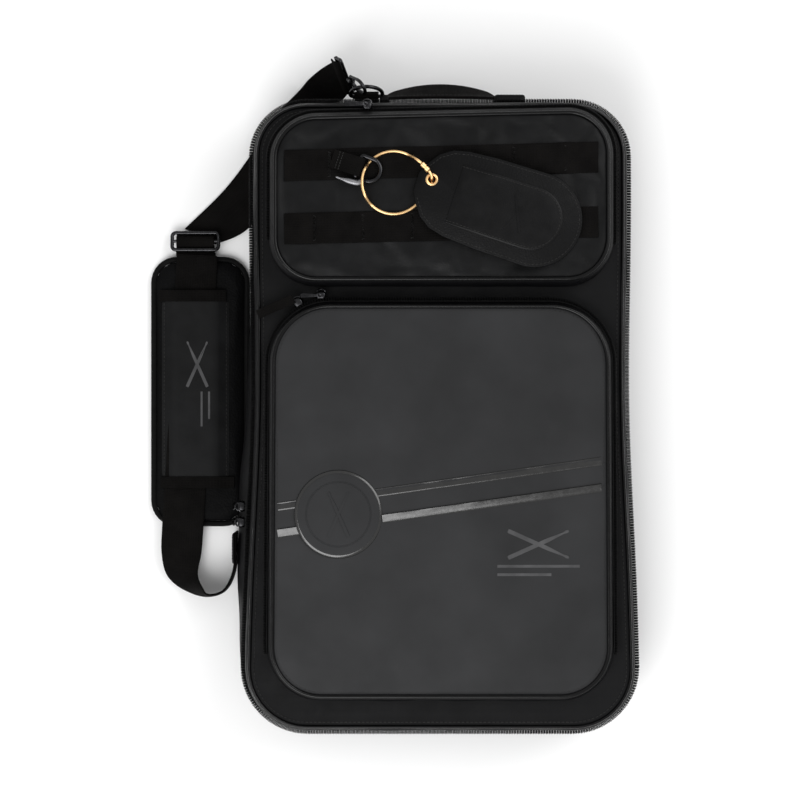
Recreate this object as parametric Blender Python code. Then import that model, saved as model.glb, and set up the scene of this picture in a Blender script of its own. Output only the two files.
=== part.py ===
"""Drum stick bag, lying on its back with the pockets facing up.

Metres, +Z up. The origin is the middle of the flat back pad, on the table. +Y runs to the
handle end and +X to the hinge side. The rear half is fixed; the lid, the two pocket flaps,
the zip sliders, the buckles, the key ring and the tag move on it.
"""

import math

import bmesh
import bpy
from mathutils import Matrix, Vector

MM = 0.001
GAP = 0.3 * MM  # air between pieces that rest against each other

# Case, seen from the front
HALF_LENGTH = 249.5 * MM
HALF_WIDTH_TOP = 150.0 * MM
HALF_WIDTH_BOTTOM = 156.5 * MM
TOP_RADIUS = 45.0 * MM
BOTTOM_RADIUS = 52.0 * MM
TAPER = (HALF_WIDTH_BOTTOM - HALF_WIDTH_TOP) / (2 * HALF_LENGTH - TOP_RADIUS - BOTTOM_RADIUS)
SIDE_X = HALF_WIDTH_TOP + TAPER * (HALF_LENGTH - TOP_RADIUS)

# Heights of the layers
ZIP_Z = 53.0 * MM
LOWER_PANEL_Z = 93.3 * MM
UPPER_PANEL_Z = 99.8 * MM
PIPING_RADIUS = 1.6 * MM

# Rear half: the left gusset is fuller than the other three
GUSSET_BULGE = 5.5 * MM
BULGE_CENTRE_Y = -60.0 * MM
BULGE_HALF_LENGTH = 190.0 * MM

# Main zip, which is also the hinge on the right side
CHAIN_WIDTH = 4.2 * MM
CHAIN_HALF_HEIGHT = 2.7 * MM
HINGE_RADIUS = 2.2 * MM

# Lower pocket
LOWER_HALF_WIDTH = 134.8 * MM
LOWER_BOTTOM_Y = -221.0 * MM
LOWER_TOP_Y = 89.5 * MM
LOWER_TOP_RADIUS = 48.0 * MM
LOWER_BOTTOM_RADIUS = 42.0 * MM
LOWER_FOLD_Y = -187.0 * MM
LOWER_FOLD_Z = 96.8 * MM

# Upper pocket; its top edge climbs a little to the right
UPPER_CENTRE_X = 0.8 * MM
UPPER_HALF_WIDTH = 133.3 * MM
UPPER_BOTTOM_Y = 102.5 * MM
UPPER_TOP_Y = 238.0 * MM
UPPER_RADIUS = 36.0 * MM
UPPER_RISE = 3.0 * MM
UPPER_ZIP_END_Y = 134.0 * MM
UPPER_FOLD_Y = 101.8 * MM
UPPER_FOLD_Z = 96.0 * MM

LOWER_ZIP_END_Y = -186.0 * MM
UPPER_ROW_Y = (194.5, 201.0)  # millimetres, at the row's left and right ends
LOWER_ROW_Y = (145.5, 151.0)
ROW_ENDS_X = (-121.0, 122.0)
ROW_WIDTH = 24.0 * MM
ROW_THICKNESS = 1.4 * MM

# Badge and the two gloss bands behind it, in millimetres where they are not scaled
BADGE_CENTRE = (-79.3 * MM, -75.7 * MM)
BADGE_RADIUS = 34.0 * MM
BAND_SLOPE = 0.141
BAND_WIDTH = 7.0
BAND_HALF_SPAN = 125.0
BAND_HEIGHTS = (("upper", -52.2), ("lower", -72.8))

# Where the moving groups turn
LID_AXIS_POINT = (SIDE_X, 0.0, ZIP_Z)
LOWER_FLAP_AXIS = (0.0, LOWER_FOLD_Y, LOWER_FOLD_Z)
UPPER_FLAP_AXIS = (0.0, UPPER_FOLD_Y, UPPER_FOLD_Z)

# Key clip, cable ring and tag, which lie on the upper pocket
CLIP_BASE_Z = UPPER_PANEL_Z + GAP + ROW_THICKNESS + GAP
KEY_TAB_TOP = Vector((-84.0 * MM, 200.0 * MM))
KEY_HOOK_PIVOT = Vector((-63.5 * MM, 193.3 * MM))
KEY_LOOP_RADIUS = 3.9 * MM
TAB_THICKNESS = 1.3 * MM
KEY_TAB_HALF_WIDTH = 7.2 * MM
KEY_HOOK_Z = CLIP_BASE_Z + 4.0 * MM
KEY_HOOK_REACH = 17.5 * MM
KEY_HOOK_HALF_WIDTH = 9.0 * MM
KEY_HOOK_WIRE = 1.3 * MM
RING_CENTRE = Vector((-36.5 * MM, 181.1 * MM))
RING_RADIUS = 24.3 * MM
RING_WIRE = 1.2 * MM
RING_LOW_Z = CLIP_BASE_Z + 1.2 * MM
RING_HIGH_Z = 108.8 * MM
RING_TAG_REACH = 5.4 * MM  # how far the ring is drawn out towards the tag's eyelet
RING_TAG_ANGLE = 4.0
BARREL_ANGLE = 25.8
BARREL_HALF_ANGLE = 8.0
BARREL_RADIUS = 1.9 * MM
BARREL_Z = 109.8 * MM
TAG_LOW_Z = 105.0 * MM
TAG_THICKNESS = 2.4 * MM
TAG_TURN = math.radians(-18.0)
TAG_PIVOT = Vector((-6.9 * MM, 183.2 * MM))
TAG_EYELET = (11.0 * MM, 4.8 * MM)  # in the tag's own plane, from the middle of its nose
TAG_END_RADIUS = 37.0
TAG_END_CENTRE = 96.0
EYELET_HOLE = 2.6 * MM
EYELET_BARREL = 3.6 * MM
EYELET_FLANGE = 5.8 * MM

# Handle, on the top side
HANDLE_LEFT_X = -36.0
HANDLE_RIGHT_X = 43.6
HANDLE_STEPS = 10
TOP_SIDE_Y = HALF_LENGTH + GAP

# D-ring and snap hook at the strap's upper end
D_RING_BAR = Vector((-58.0 * MM, TOP_SIDE_Y + 3.6 * MM, 47.0 * MM))
D_RING_UP = (0.0, 0.342, 0.94)
D_RING_HALF_WIDTH = 12.5 * MM
D_RING_WIRE = 1.6 * MM
HOOK_CATCH = Vector((-62.4 * MM, 259.3 * MM, 63.2 * MM))
HOOK_AXIS = (-0.529, 0.381, -0.757)
HOOK_ACROSS = (0.294, -0.754, -0.585)
HOOK_BOW = 6.2 * MM
HOOK_WIRE = 1.5 * MM
HOOK_SWIVEL = 17.0 * MM

# Carrying strap, tri-glide and shoulder pad
WEBBING = 1.8 * MM
TRI_GLIDE_CENTRE = Vector((-196.0 * MM, 140.6 * MM, 8.6 * MM))
TRI_GLIDE_TILT = math.radians(-13.5)
PAD_CENTRE = Vector((-192.2 * MM, 19.8 * MM, 0.0))
PAD_WIDTH = 77.0
PAD_LENGTH = 214.6

# Zip sliders: a block outside the chain, with a pull on it
SLIDER_LENGTH = 9.0 * MM
SLIDER_DEPTH = 5.0 * MM
SLIDER_HEIGHT = 7.0 * MM
CORNER_SLIDER_ANGLE = 116.8
LOWER_CORNER = (
    LOWER_TOP_RADIUS - LOWER_HALF_WIDTH,
    LOWER_TOP_Y - LOWER_TOP_RADIUS,
    86.5 * MM,
)
CORNER_CHAIN_RADIUS = LOWER_TOP_RADIUS + 3.6 * MM
UPPER_RISE_TURN = -UPPER_RISE / UPPER_HALF_WIDTH

COLLECTION = bpy.context.scene.collection


def clear_scene():
    for obj in list(bpy.data.objects):
        bpy.data.objects.remove(obj)


def material(name, color, roughness, metallic=0.0):
    mat = bpy.data.materials.new(name)
    mat.use_nodes = True
    shader = mat.node_tree.nodes["Principled BSDF"]
    shader.inputs["Base Color"].default_value = (*color, 1.0)
    shader.inputs["Roughness"].default_value = roughness
    shader.inputs["Metallic"].default_value = metallic
    return mat


def place(name, bm, finish, origin=(0, 0, 0), smooth=False):
    """Makes the object called name from world-space geometry, with its origin at origin."""
    bmesh.ops.remove_doubles(bm, verts=bm.verts, dist=0.00001)
    bmesh.ops.recalc_face_normals(bm, faces=bm.faces)
    origin = Vector(origin)
    bmesh.ops.translate(bm, vec=-origin, verts=bm.verts)
    mesh = bpy.data.meshes.new(name)
    bm.to_mesh(mesh)
    bm.free()
    if smooth:
        mesh.shade_smooth()
    mesh.materials.append(material(name + "_finish", *finish))
    obj = bpy.data.objects.new(name, mesh)
    obj.location = origin
    COLLECTION.objects.link(obj)
    return obj


def loft(loops, closed=False):
    """A skin through loops of points: capped at both ends, or joined end to end."""
    bm = bmesh.new()
    rows = [[bm.verts.new(point) for point in loop] for loop in loops]
    count = len(rows[0])
    pairs = list(zip(rows, rows[1:]))
    if closed:
        pairs.append((rows[-1], rows[0]))
    for lower, upper in pairs:
        for i in range(count):
            j = (i + 1) % count
            bm.faces.new((lower[i], lower[j], upper[j], upper[i]))
    if not closed:
        bm.faces.new(rows[0])
        bm.faces.new(rows[-1])
    return bm


def keep_side(bm, point, normal):
    """Cuts the mesh with a plane, keeps the side the normal points to and closes the cut."""
    geometry = bm.verts[:] + bm.edges[:] + bm.faces[:]
    bmesh.ops.bisect_plane(
        bm, geom=geometry, dist=1e-7, plane_co=point, plane_no=normal, clear_inner=True
    )
    rim = [edge for edge in bm.edges if edge.is_boundary]
    bmesh.ops.holes_fill(bm, edges=rim, sides=0)
    return bm


def arc(centre_x, centre_y, radius, start, end, steps):
    points = []
    for i in range(steps + 1):
        angle = math.radians(start + (end - start) * i / steps)
        points.append(
            (centre_x + radius * math.cos(angle), centre_y + radius * math.sin(angle))
        )
    return points


def bulge_at(y):
    return max(0.0, 1.0 - ((y - BULGE_CENTRE_Y) / BULGE_HALF_LENGTH) ** 2)


def case_outline(inset, bulge=0.0, steps=5, side_steps=8):
    """The case's outline, from the top of the straight right side round to its bottom."""
    top = HALF_LENGTH - inset
    wide = HALF_WIDTH_BOTTOM - inset
    narrow = HALF_WIDTH_TOP - inset
    r_top = TOP_RADIUS - inset
    r_bottom = BOTTOM_RADIUS - inset
    points = arc(narrow - r_top, top - r_top, r_top, 0, 90, steps)
    points += arc(r_top - narrow, top - r_top, r_top, 90, 180, steps)
    upper, lower = Vector(points[-1]), Vector((-wide, r_bottom - top))
    for i in range(1, side_steps):
        along = upper.lerp(lower, i / side_steps)
        points.append((along.x - bulge * bulge_at(along.y), along.y))
    points += arc(r_bottom - wide, r_bottom - top, r_bottom, 180, 270, steps)
    points += arc(wide - r_bottom, r_bottom - top, r_bottom, 270, 360, steps)
    return points


def pocket_outline(inset, half_width, bottom, top, r_bottom, r_top, centre_x=0.0, rise=0.0):
    right, left = centre_x + half_width - inset, centre_x - half_width + inset
    bottom, top = bottom + inset, top - inset
    r_bottom, r_top = r_bottom - inset, r_top - inset
    steps = 5
    points = arc(right - r_top, top - r_top, r_top, 0, 90, steps)
    points += arc(left + r_top, top - r_top, r_top, 90, 180, steps)
    points = [(x, y + rise * (x - centre_x) / half_width) for x, y in points]
    points += arc(left + r_bottom, bottom + r_bottom, r_bottom, 180, 270, steps)
    points += arc(right - r_bottom, bottom + r_bottom, r_bottom, 270, 360, steps)
    return points


def lower_outline(inset):
    return pocket_outline(
        inset,
        LOWER_HALF_WIDTH,
        LOWER_BOTTOM_Y,
        LOWER_TOP_Y,
        LOWER_BOTTOM_RADIUS,
        LOWER_TOP_RADIUS,
    )


def upper_outline(inset):
    return pocket_outline(
        inset,
        UPPER_HALF_WIDTH,
        UPPER_BOTTOM_Y,
        UPPER_TOP_Y,
        UPPER_RADIUS,
        UPPER_RADIUS,
        UPPER_CENTRE_X,
        UPPER_RISE,
    )


def at_height(outline, z):
    return [(x, y, z) for x, y in outline]


def stacked(outline, sections):
    """A loft through the outline at each (inset, height) in millimetres."""
    return loft([at_height(outline(inset * MM), z * MM) for inset, z in sections])


def cord(outline, inset, z, radius=PIPING_RADIUS, sides=6):
    """A round cord that follows the outline all the way round."""
    loops = []
    for i in range(sides):
        angle = 2 * math.pi * i / sides
        loops.append(
            at_height(
                outline(inset + radius * math.cos(angle)), z + radius * math.sin(angle)
            )
        )
    return loft(loops, closed=True)


def band(outline, inset_outer, inset_inner, z_low, z_high):
    """A flat-sided band that follows the outline all the way round."""
    corners = (
        (inset_outer, z_low),
        (inset_inner, z_low),
        (inset_inner, z_high),
        (inset_outer, z_high),
    )
    return loft([at_height(outline(inset), z) for inset, z in corners], closed=True)


def open_band(outline, inset_outer, inset_inner, z_low, z_high):
    """The same band, left open across the straight right side."""
    outer, inner = outline(inset_outer), outline(inset_inner)
    loops = []
    for (ox, oy), (ix, iy) in zip(outer, inner):
        loops.append(
            ((ox, oy, z_low), (ix, iy, z_low), (ix, iy, z_high), (ox, oy, z_high))
        )
    return loft(loops)


def box(low, high):
    bm = bmesh.new()
    bmesh.ops.create_cube(bm, size=1.0)
    low, high = Vector(low), Vector(high)
    size = high - low
    bmesh.ops.scale(bm, vec=size, verts=bm.verts)
    bmesh.ops.translate(bm, vec=(low + high) / 2, verts=bm.verts)
    return bm


def prism(points, z_low, z_high):
    return loft([at_height(points, z_low), at_height(points, z_high)])


def turned(bm, matrix):
    bmesh.ops.transform(bm, matrix=matrix, verts=bm.verts)
    return bm


def frame_matrix(origin, x_axis, y_axis):
    """The matrix that carries the drawing plane to origin, with these axes."""
    x_axis = Vector(x_axis).normalized()
    z_axis = x_axis.cross(Vector(y_axis)).normalized()
    y_axis = z_axis.cross(x_axis)
    matrix = Matrix((x_axis, y_axis, z_axis)).transposed().to_4x4()
    matrix.translation = Vector(origin)
    return matrix


def wire(points, radius, sides=6, closed=False):
    """A round wire along points in the XY plane."""
    path = [Vector((x, y, 0.0)) for x, y in points]
    up = Vector((0, 0, 1))
    loops = []
    for i, here in enumerate(path):
        ahead = path[(i + 1) % len(path)] if closed or i + 1 < len(path) else here
        behind = path[i - 1] if closed or i else here
        along = (ahead - behind).normalized()
        across = along.cross(up)
        before = (here - behind).normalized() if (here - behind).length else along
        stretch = 1 / max(0.5, before.dot(along))
        loop = []
        for j in range(sides):
            angle = 2 * math.pi * (j + 0.5) / sides
            loop.append(
                here
                + across * (radius * stretch * math.cos(angle))
                + up * (radius * math.sin(angle))
            )
        loops.append(loop)
    return loft(loops, closed=closed)


def ribbon(sections, thickness=WEBBING):
    """Webbing through pairs of edge points, the thickness built above each pair."""
    pairs = [(Vector(a) * MM, Vector(b) * MM) for a, b in sections]
    middles = [(a + b) / 2 for a, b in pairs]
    loops = []
    for i, (a, b) in enumerate(pairs):
        ahead = middles[min(i + 1, len(pairs) - 1)]
        behind = middles[max(i - 1, 0)]
        normal = (b - a).cross(ahead - behind).normalized() * thickness
        loops.append((a, b, b - normal, a - normal))
    return loft(loops)


def rounded_rectangle(width, height, radius, steps=3):
    right, top = width / 2, height / 2
    points = arc(right - radius, top - radius, radius, 0, 90, steps)
    points += arc(radius - right, top - radius, radius, 90, 180, steps)
    points += arc(radius - right, radius - top, radius, 180, 270, steps)
    points += arc(right - radius, radius - top, radius, 270, 360, steps)
    return points


BLACK_FABRIC = ((0.012, 0.012, 0.013), 0.62)
GREY_PANEL = ((0.028, 0.029, 0.031), 0.45)
PIPING = ((0.02, 0.02, 0.021), 0.32)
WEBBING_BLACK = ((0.014, 0.013, 0.013), 0.75)
ZIP_BLACK = ((0.01, 0.01, 0.01), 0.4)
BLACK_METAL = ((0.05, 0.05, 0.055), 0.25, 1.0)
SILVER = ((0.75, 0.75, 0.75), 0.2, 1.0)
GOLD = ((0.85, 0.55, 0.22), 0.2, 1.0)
LEATHER = ((0.02, 0.02, 0.021), 0.5)
GLOSS_VINYL = ((0.01, 0.01, 0.01), 0.12)
FOAM_MESH = ((0.016, 0.016, 0.017), 0.9)
LINING = ((0.07, 0.07, 0.075), 0.8)


def build_rear_half():
    pad_sections = ((3.0, 0.0), (0.0, 2.5), (0.0, 4.5), (2.0, 6.0))
    loops = []
    for inset, z in pad_sections:
        inset *= MM
        outline = rounded_rectangle(224 * MM - 2 * inset, 410 * MM - 2 * inset, 30 * MM)
        loops.append(at_height(outline, z * MM))
    place("back_pad", loft(loops), FOAM_MESH)

    outer = (
        (17.0, 6.3, 0.0),
        (9.0, 8.8, 0.0),
        (2.5, 16.0, 0.6),
        (0.5, 26.0, 1.0),
        (0.5, 38.0, 1.0),
        (1.2, 47.0, 0.3),
        (1.5, 50.0, 0.0),
    )
    inner = (
        (5.5, 50.0, 0.0),
        (5.2, 47.0, 0.3),
        (4.5, 38.0, 1.0),
        (4.5, 26.0, 1.0),
        (7.0, 17.0, 0.6),
        (20.0, 10.3, 0.0),
    )
    loops = []
    for inset, z, full in outer + inner:
        loops.append(at_height(case_outline(inset * MM, full * GUSSET_BULGE), z * MM))
    place("rear_shell", loft(loops), BLACK_FABRIC)

    place("rear_piping", cord(case_outline, 12.4 * MM, 5.64 * MM), PIPING, smooth=True)
    rear_low, rear_high = ZIP_Z - CHAIN_HALF_HEIGHT, ZIP_Z - GAP / 2
    chain = open_band(case_outline, 0.0, CHAIN_WIDTH, rear_low, rear_high)
    place("rear_zip_chain", chain, ZIP_BLACK)

    low = Vector((HALF_WIDTH_BOTTOM, BOTTOM_RADIUS - HALF_LENGTH + 0.5 * MM, ZIP_Z))
    high = Vector((HALF_WIDTH_TOP, HALF_LENGTH - TOP_RADIUS - 0.5 * MM, ZIP_Z))
    straight = [(0.0, 0.0), ((high - low).length, 0.0)]
    matrix = frame_matrix(low, high - low, (0, 0, 1))
    chain = turned(wire(straight, HINGE_RADIUS, sides=8), matrix)
    place("hinge_zip_chain", chain, ZIP_BLACK, smooth=True)

    # Two open-topped sleeves for sticks lie side by side on the floor of the rear half
    for name, low_x, high_x in (("left", -131, -1), ("right", 1, 131)):
        place("stick_sleeve_" + name, pouch(low_x, high_x, -205, 150, 10.6, 36), LINING)


def pouch(low_x, high_x, low_y, high_y, low_z, high_z, wall=1.4):
    """A flat-sided pouch in millimetres, open at its +Y end."""

    def ring(y, inset):
        x0, x1 = (low_x + inset) * MM, (high_x - inset) * MM
        z0, z1 = (low_z + inset) * MM, (high_z - inset) * MM
        return ((x0, y * MM, z0), (x1, y * MM, z0), (x1, y * MM, z1), (x0, y * MM, z1))

    return loft([ring(low_y, 0), ring(high_y, 0), ring(high_y, wall), ring(low_y + wall, wall)])


def build_lid():
    sections = (
        (12.0, 73.3),
        (6.5, 70.0),
        (4.6, 64.0),
        (4.6, 56.0),
        (0.6, 56.0),
        (0.8, 62.0),
        (2.5, 70.0),
        (6.0, 75.0),
        (9.5, 76.5),
    )
    place("lid_shell", stacked(case_outline, sections), BLACK_FABRIC, LID_AXIS_POINT)
    piping = cord(case_outline, 6.96 * MM, 77.6 * MM)
    place("lid_piping", piping, PIPING, LID_AXIS_POINT, smooth=True)
    lid_low, lid_high = ZIP_Z + GAP / 2, ZIP_Z + CHAIN_HALF_HEIGHT
    chain = open_band(case_outline, 0.0, CHAIN_WIDTH, lid_low, lid_high)
    place("lid_zip_chain", chain, ZIP_BLACK, LID_AXIS_POINT)
    inner = pouch(-122, 122, -215, 60, 64.5, 73)
    place("lid_inner_pocket", inner, LINING, LID_AXIS_POINT)


def build_lower_pocket():
    tray = ((0.8, 76.8), (0.0, 78.0), (0.0, 86.0), (2.5, 86.0), (2.5, 78.0))
    place("lower_pocket_gusset", stacked(lower_outline, tray), BLACK_FABRIC, LID_AXIS_POINT)

    lip = (
        (9.0, 91.3),
        (4.0, 90.3),
        (2.5, 86.3),
        (0.0, 86.3),
        (0.6, 89.5),
        (2.0, 92.6),
        (2.2, 95.5),
        (3.75, 96.4),
        (5.3, 95.5),
        (5.6, 93.3),
    )
    bm = stacked(lower_outline, lip)
    below = (0, LOWER_FOLD_Y - GAP / 2, 0)
    keep_side(bm, below, (0, -1, 0))
    place("lower_pocket_lip", bm, GREY_PANEL, LID_AXIS_POINT)

    panel = (
        (8.0, 91.3),
        (4.0, 90.3),
        (2.5, 86.3),
        (0.0, 86.3),
        (0.6, 89.5),
        (2.5, 92.4),
        (6.0, 93.3),
    )
    above = (0, LOWER_FOLD_Y + GAP / 2, 0)
    bm = keep_side(stacked(lower_outline, panel), above, (0, 1, 0))
    place("lower_pocket_flap", bm, GREY_PANEL, LOWER_FLAP_AXIS)
    bm = keep_side(cord(lower_outline, 3.75 * MM, 94.8 * MM), above, (0, 1, 0))
    place("lower_flap_piping", bm, PIPING, LOWER_FLAP_AXIS, smooth=True)

    ends = (0, LOWER_ZIP_END_Y, 0)
    chain = band(lower_outline, -3.3 * MM, -0.3 * MM, 84.0 * MM, 87.0 * MM)
    keep_side(chain, ends, (0, 1, 0))
    place("lower_pocket_zip", chain, ZIP_BLACK, LID_AXIS_POINT)

    # Two gloss bands climb to the right across the panel, under a round badge
    panel_top = LOWER_PANEL_Z + GAP
    for name, height in BAND_HEIGHTS:
        ends = []
        for x in (-BAND_HALF_SPAN, BAND_HALF_SPAN):
            ends.append((x, height + BAND_SLOPE * x))
        (x0, y0), (x1, y1) = ends
        half = BAND_WIDTH / 2
        corners = ((x0, y0 - half), (x1, y1 - half), (x1, y1 + half), (x0, y0 + half))
        bm = prism([(x * MM, y * MM) for x, y in corners], panel_top, panel_top + 0.5 * MM)
        place("gloss_band_" + name, bm, GLOSS_VINYL, LOWER_FLAP_AXIS)
    low = panel_top + 0.5 * MM + GAP
    disc = arc(*BADGE_CENTRE, BADGE_RADIUS, 0, 345, 23)
    place("badge", prism(disc, low, low + 1.2 * MM), GREY_PANEL, LOWER_FLAP_AXIS)


def build_upper_pocket():
    tray = ((0.8, 76.8), (0.0, 78.0), (0.0, 90.0), (2.5, 90.0), (2.5, 78.0))
    place("upper_pocket_gusset", stacked(upper_outline, tray), BLACK_FABRIC, LID_AXIS_POINT)
    panel = (
        (9.0, 97.6),
        (4.5, 96.3),
        (2.5, 90.3),
        (0.0, 90.3),
        (0.8, 95.0),
        (3.0, 98.6),
        (6.8, 99.8),
    )
    place("upper_pocket_flap", stacked(upper_outline, panel), BLACK_FABRIC, UPPER_FLAP_AXIS)
    piping = cord(upper_outline, 4.3 * MM, 101.1 * MM)
    place("upper_flap_piping", piping, PIPING, UPPER_FLAP_AXIS, smooth=True)
    chain = band(upper_outline, -3.3 * MM, -0.3 * MM, 87.5 * MM, 90.5 * MM)
    keep_side(chain, (0, UPPER_ZIP_END_Y, 0), (0, 1, 0))
    place("upper_pocket_zip", chain, ZIP_BLACK, LID_AXIS_POINT)

    # Two rows of webbing are bar-tacked across the panel and climb with its top edge
    low = UPPER_PANEL_Z + GAP
    half = ROW_WIDTH / 2
    x0, x1 = (x * MM for x in ROW_ENDS_X)
    for name, ends in (("upper", UPPER_ROW_Y), ("lower", LOWER_ROW_Y)):
        left, right = (y * MM for y in ends)
        corners = ((x0, left - half), (x1, right - half), (x1, right + half), (x0, left + half))
        bm = prism(corners, low, low + ROW_THICKNESS)
        place("webbing_row_" + name, bm, WEBBING_BLACK, UPPER_FLAP_AXIS)


def sewn_loop(length, radius, thickness, half_width, matrix):
    """A webbing tab: a flat plate that ends in a loop round a bar."""
    inside = radius - thickness
    profile = [(0.0, 0.0)]
    profile += arc(length, radius, radius, -90, 205, 10)
    profile += arc(length, radius, inside, 205, -90, 10)
    profile += [(0.0, thickness)]
    near = [(x, y, -half_width) for x, y in profile]
    far = [(x, y, half_width) for x, y in profile]
    return turned(loft([near, far]), matrix)


def key_hook_frame():
    along = (KEY_HOOK_PIVOT - KEY_TAB_TOP).normalized()
    origin = (KEY_HOOK_PIVOT.x, KEY_HOOK_PIVOT.y, KEY_HOOK_Z)
    return frame_matrix(origin, (along.x, along.y, 0), (-along.y, along.x, 0))


def build_key_clip():
    """A webbing tab on the upper row holds a key hook with a spring lever."""
    along = (KEY_HOOK_PIVOT - KEY_TAB_TOP).normalized()
    length = (KEY_HOOK_PIVOT - KEY_TAB_TOP).length
    origin = (KEY_TAB_TOP.x, KEY_TAB_TOP.y, KEY_HOOK_Z - KEY_LOOP_RADIUS)
    matrix = frame_matrix(origin, (along.x, along.y, 0), (0, 0, 1))
    bm = sewn_loop(length, KEY_LOOP_RADIUS, TAB_THICKNESS, KEY_TAB_HALF_WIDTH, matrix)
    place("key_tab", bm, WEBBING_BLACK, UPPER_FLAP_AXIS)

    # The hook's bar lies in the loop; its bow is open on the side the lever closes
    half, reach = KEY_HOOK_HALF_WIDTH, KEY_HOOK_REACH
    matrix = key_hook_frame()
    path = [(0.0, -half), (0.0, 0.0), (0.0, half), (reach - half, half)]
    path += arc(reach - half, 0, half, 70, -70, 7)
    path += [(reach - half, -half)]
    bm = turned(wire(path, KEY_HOOK_WIRE), matrix)
    place("key_hook", bm, BLACK_METAL, matrix.translation, smooth=True)

    # The lever runs back beside the tab as a thumb piece
    lever = [(-14.0 * MM, -half - 4.0 * MM), (2.5 * MM, -half - 3.2 * MM)]
    lever += [(6.8 * MM, -half + 0.4 * MM)]
    pivot = matrix @ Vector((*lever[1], 0.0))
    bm = turned(wire(lever, 1.2 * MM), matrix)
    place("key_lever", bm, SILVER, pivot, smooth=True)


def eased(value, low, high):
    """0 below low, 1 above high and a smooth climb between."""
    t = min(1.0, max(0.0, (value - low) / (high - low)))
    return t * t * (3 - 2 * t)


def cable_height(angle):
    """Height of the cable's middle for an angle from -310 to 26 degrees."""
    rise = RING_HIGH_Z - RING_LOW_Z
    height = RING_LOW_Z
    height += (BARREL_Z - RING_LOW_Z) * eased(angle, RING_TAG_ANGLE - 2.2, RING_TAG_ANGLE + 2.2)
    height += rise * eased(angle, -132, -158) * eased(angle, -219, -202)
    height += (BARREL_Z - RING_LOW_Z) * eased(angle, -296, -318)
    return height


def build_cable_ring():
    start = BARREL_ANGLE - BARREL_HALF_ANGLE - 0.8
    end = BARREL_ANGLE + BARREL_HALF_ANGLE + 0.8 - 360
    through_eyelet = [RING_TAG_ANGLE + step for step in (3.2, 1.9, 1.0, 0, -1.0, -1.9, -3.2)]
    angles = [start, *through_eyelet]
    steps = 44
    first = through_eyelet[-1]
    angles += [first + (end - first) * i / steps for i in range(1, steps + 1)]
    points = []
    for angle in angles:
        away = (angle - RING_TAG_ANGLE) / 28.0
        back = (angle + 360 - RING_TAG_ANGLE) / 28.0
        drawn = math.exp(-away * away) + math.exp(-back * back)
        radius = RING_RADIUS + RING_TAG_REACH * drawn
        turn = math.radians(angle)
        x = RING_CENTRE.x + radius * math.cos(turn)
        y = RING_CENTRE.y + radius * math.sin(turn)
        points.append(Vector((x, y, cable_height(angle))))
    centre = (RING_CENTRE.x, RING_CENTRE.y, RING_LOW_Z)
    place("cable_ring", cable(points, RING_WIRE), GOLD, centre, smooth=True)

    low, high = points[0], points[-1]
    along = (high - low).normalized()
    middle = (low + high) / 2
    half = (high - low).length / 2 - GAP
    matrix = frame_matrix(middle, along, (0, 0, 1))
    bm = turned(wire([(-half, 0), (half, 0)], BARREL_RADIUS, sides=8), matrix)
    place("ring_barrel", bm, GOLD, middle, smooth=True)


def cable(points, radius, sides=6):
    """A round cable along points in space, its section carried along without twist."""
    tangents = []
    for i in range(len(points)):
        ahead = points[min(i + 1, len(points) - 1)]
        behind = points[max(i - 1, 0)]
        tangents.append((ahead - behind).normalized())
    side = tangents[0].orthogonal().normalized()
    loops = []
    for i, (point, tangent) in enumerate(zip(points, tangents)):
        if i:
            side = tangents[i - 1].rotation_difference(tangent) @ side
        side = (side - tangent * side.dot(tangent)).normalized()
        other = tangent.cross(side)
        loop = []
        for j in range(sides):
            angle = 2 * math.pi * j / sides
            loop.append(point + (side * math.cos(angle) + other * math.sin(angle)) * radius)
        loops.append(loop)
    return loft(loops)


def tag_outline(inset):
    """The tag in millimetres, from its cut nose to its round far end."""
    nose = ((0.0, 8.0), (3.5, 15.0), (11.0, 25.5), (20.0, 31.5), (32.0, 34.4))
    lower, upper = [], []
    for x, half in nose:
        lower.append((x + inset * 0.6, -(half - inset)))
        upper.append((x + inset * 0.6, half - inset))
    points = lower
    points += arc(TAG_END_CENTRE, 0, TAG_END_RADIUS - inset, -90, 90, 12)
    points += reversed(upper)
    return [(x * MM, y * MM) for x, y in points]


def build_tag():
    eyelet_x, eyelet_y = TAG_EYELET
    matrix = Matrix.Translation((TAG_PIVOT.x, TAG_PIVOT.y, 0))
    matrix @= Matrix.Rotation(TAG_TURN, 4, "Z")
    matrix @= Matrix.Translation((-eyelet_x, -eyelet_y, 0))
    pivot = (TAG_PIVOT.x, TAG_PIVOT.y, TAG_LOW_Z)
    top = TAG_LOW_Z + TAG_THICKNESS

    hole = arc(eyelet_x, eyelet_y, EYELET_BARREL + GAP, 0, 330, 11)
    bm = turned(plate_with_hole(tag_outline(0.0), hole, TAG_LOW_Z, top), matrix)
    place("tag_back", bm, LEATHER, pivot)

    # A window of thinner leather is stitched on, open towards the nose for an address card
    window = [(31.0, -22.5)] + arc(97.0, 0, 22.5, -90, 90, 8) + [(31.0, 22.5)]
    window = [(x * MM, y * MM) for x, y in window]
    bm = turned(prism(window, top + GAP, top + GAP + 1.2 * MM), matrix)
    place("tag_window", bm, LEATHER, pivot)

    inner = arc(eyelet_x, eyelet_y, EYELET_HOLE, 0, 330, 11)
    barrel = arc(eyelet_x, eyelet_y, EYELET_BARREL, 0, 330, 11)
    flange = arc(eyelet_x, eyelet_y, EYELET_FLANGE, 0, 330, 11)
    rings = (
        at_height(inner, top + 1.0 * MM),
        at_height(flange, top + 0.7 * MM),
        at_height(flange, top + GAP),
        at_height(barrel, top + GAP),
        at_height(barrel, TAG_LOW_Z),
        at_height(inner, TAG_LOW_Z),
    )
    bm = turned(loft(rings, closed=True), matrix)
    place("tag_eyelet", bm, GOLD, pivot, smooth=True)


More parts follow.
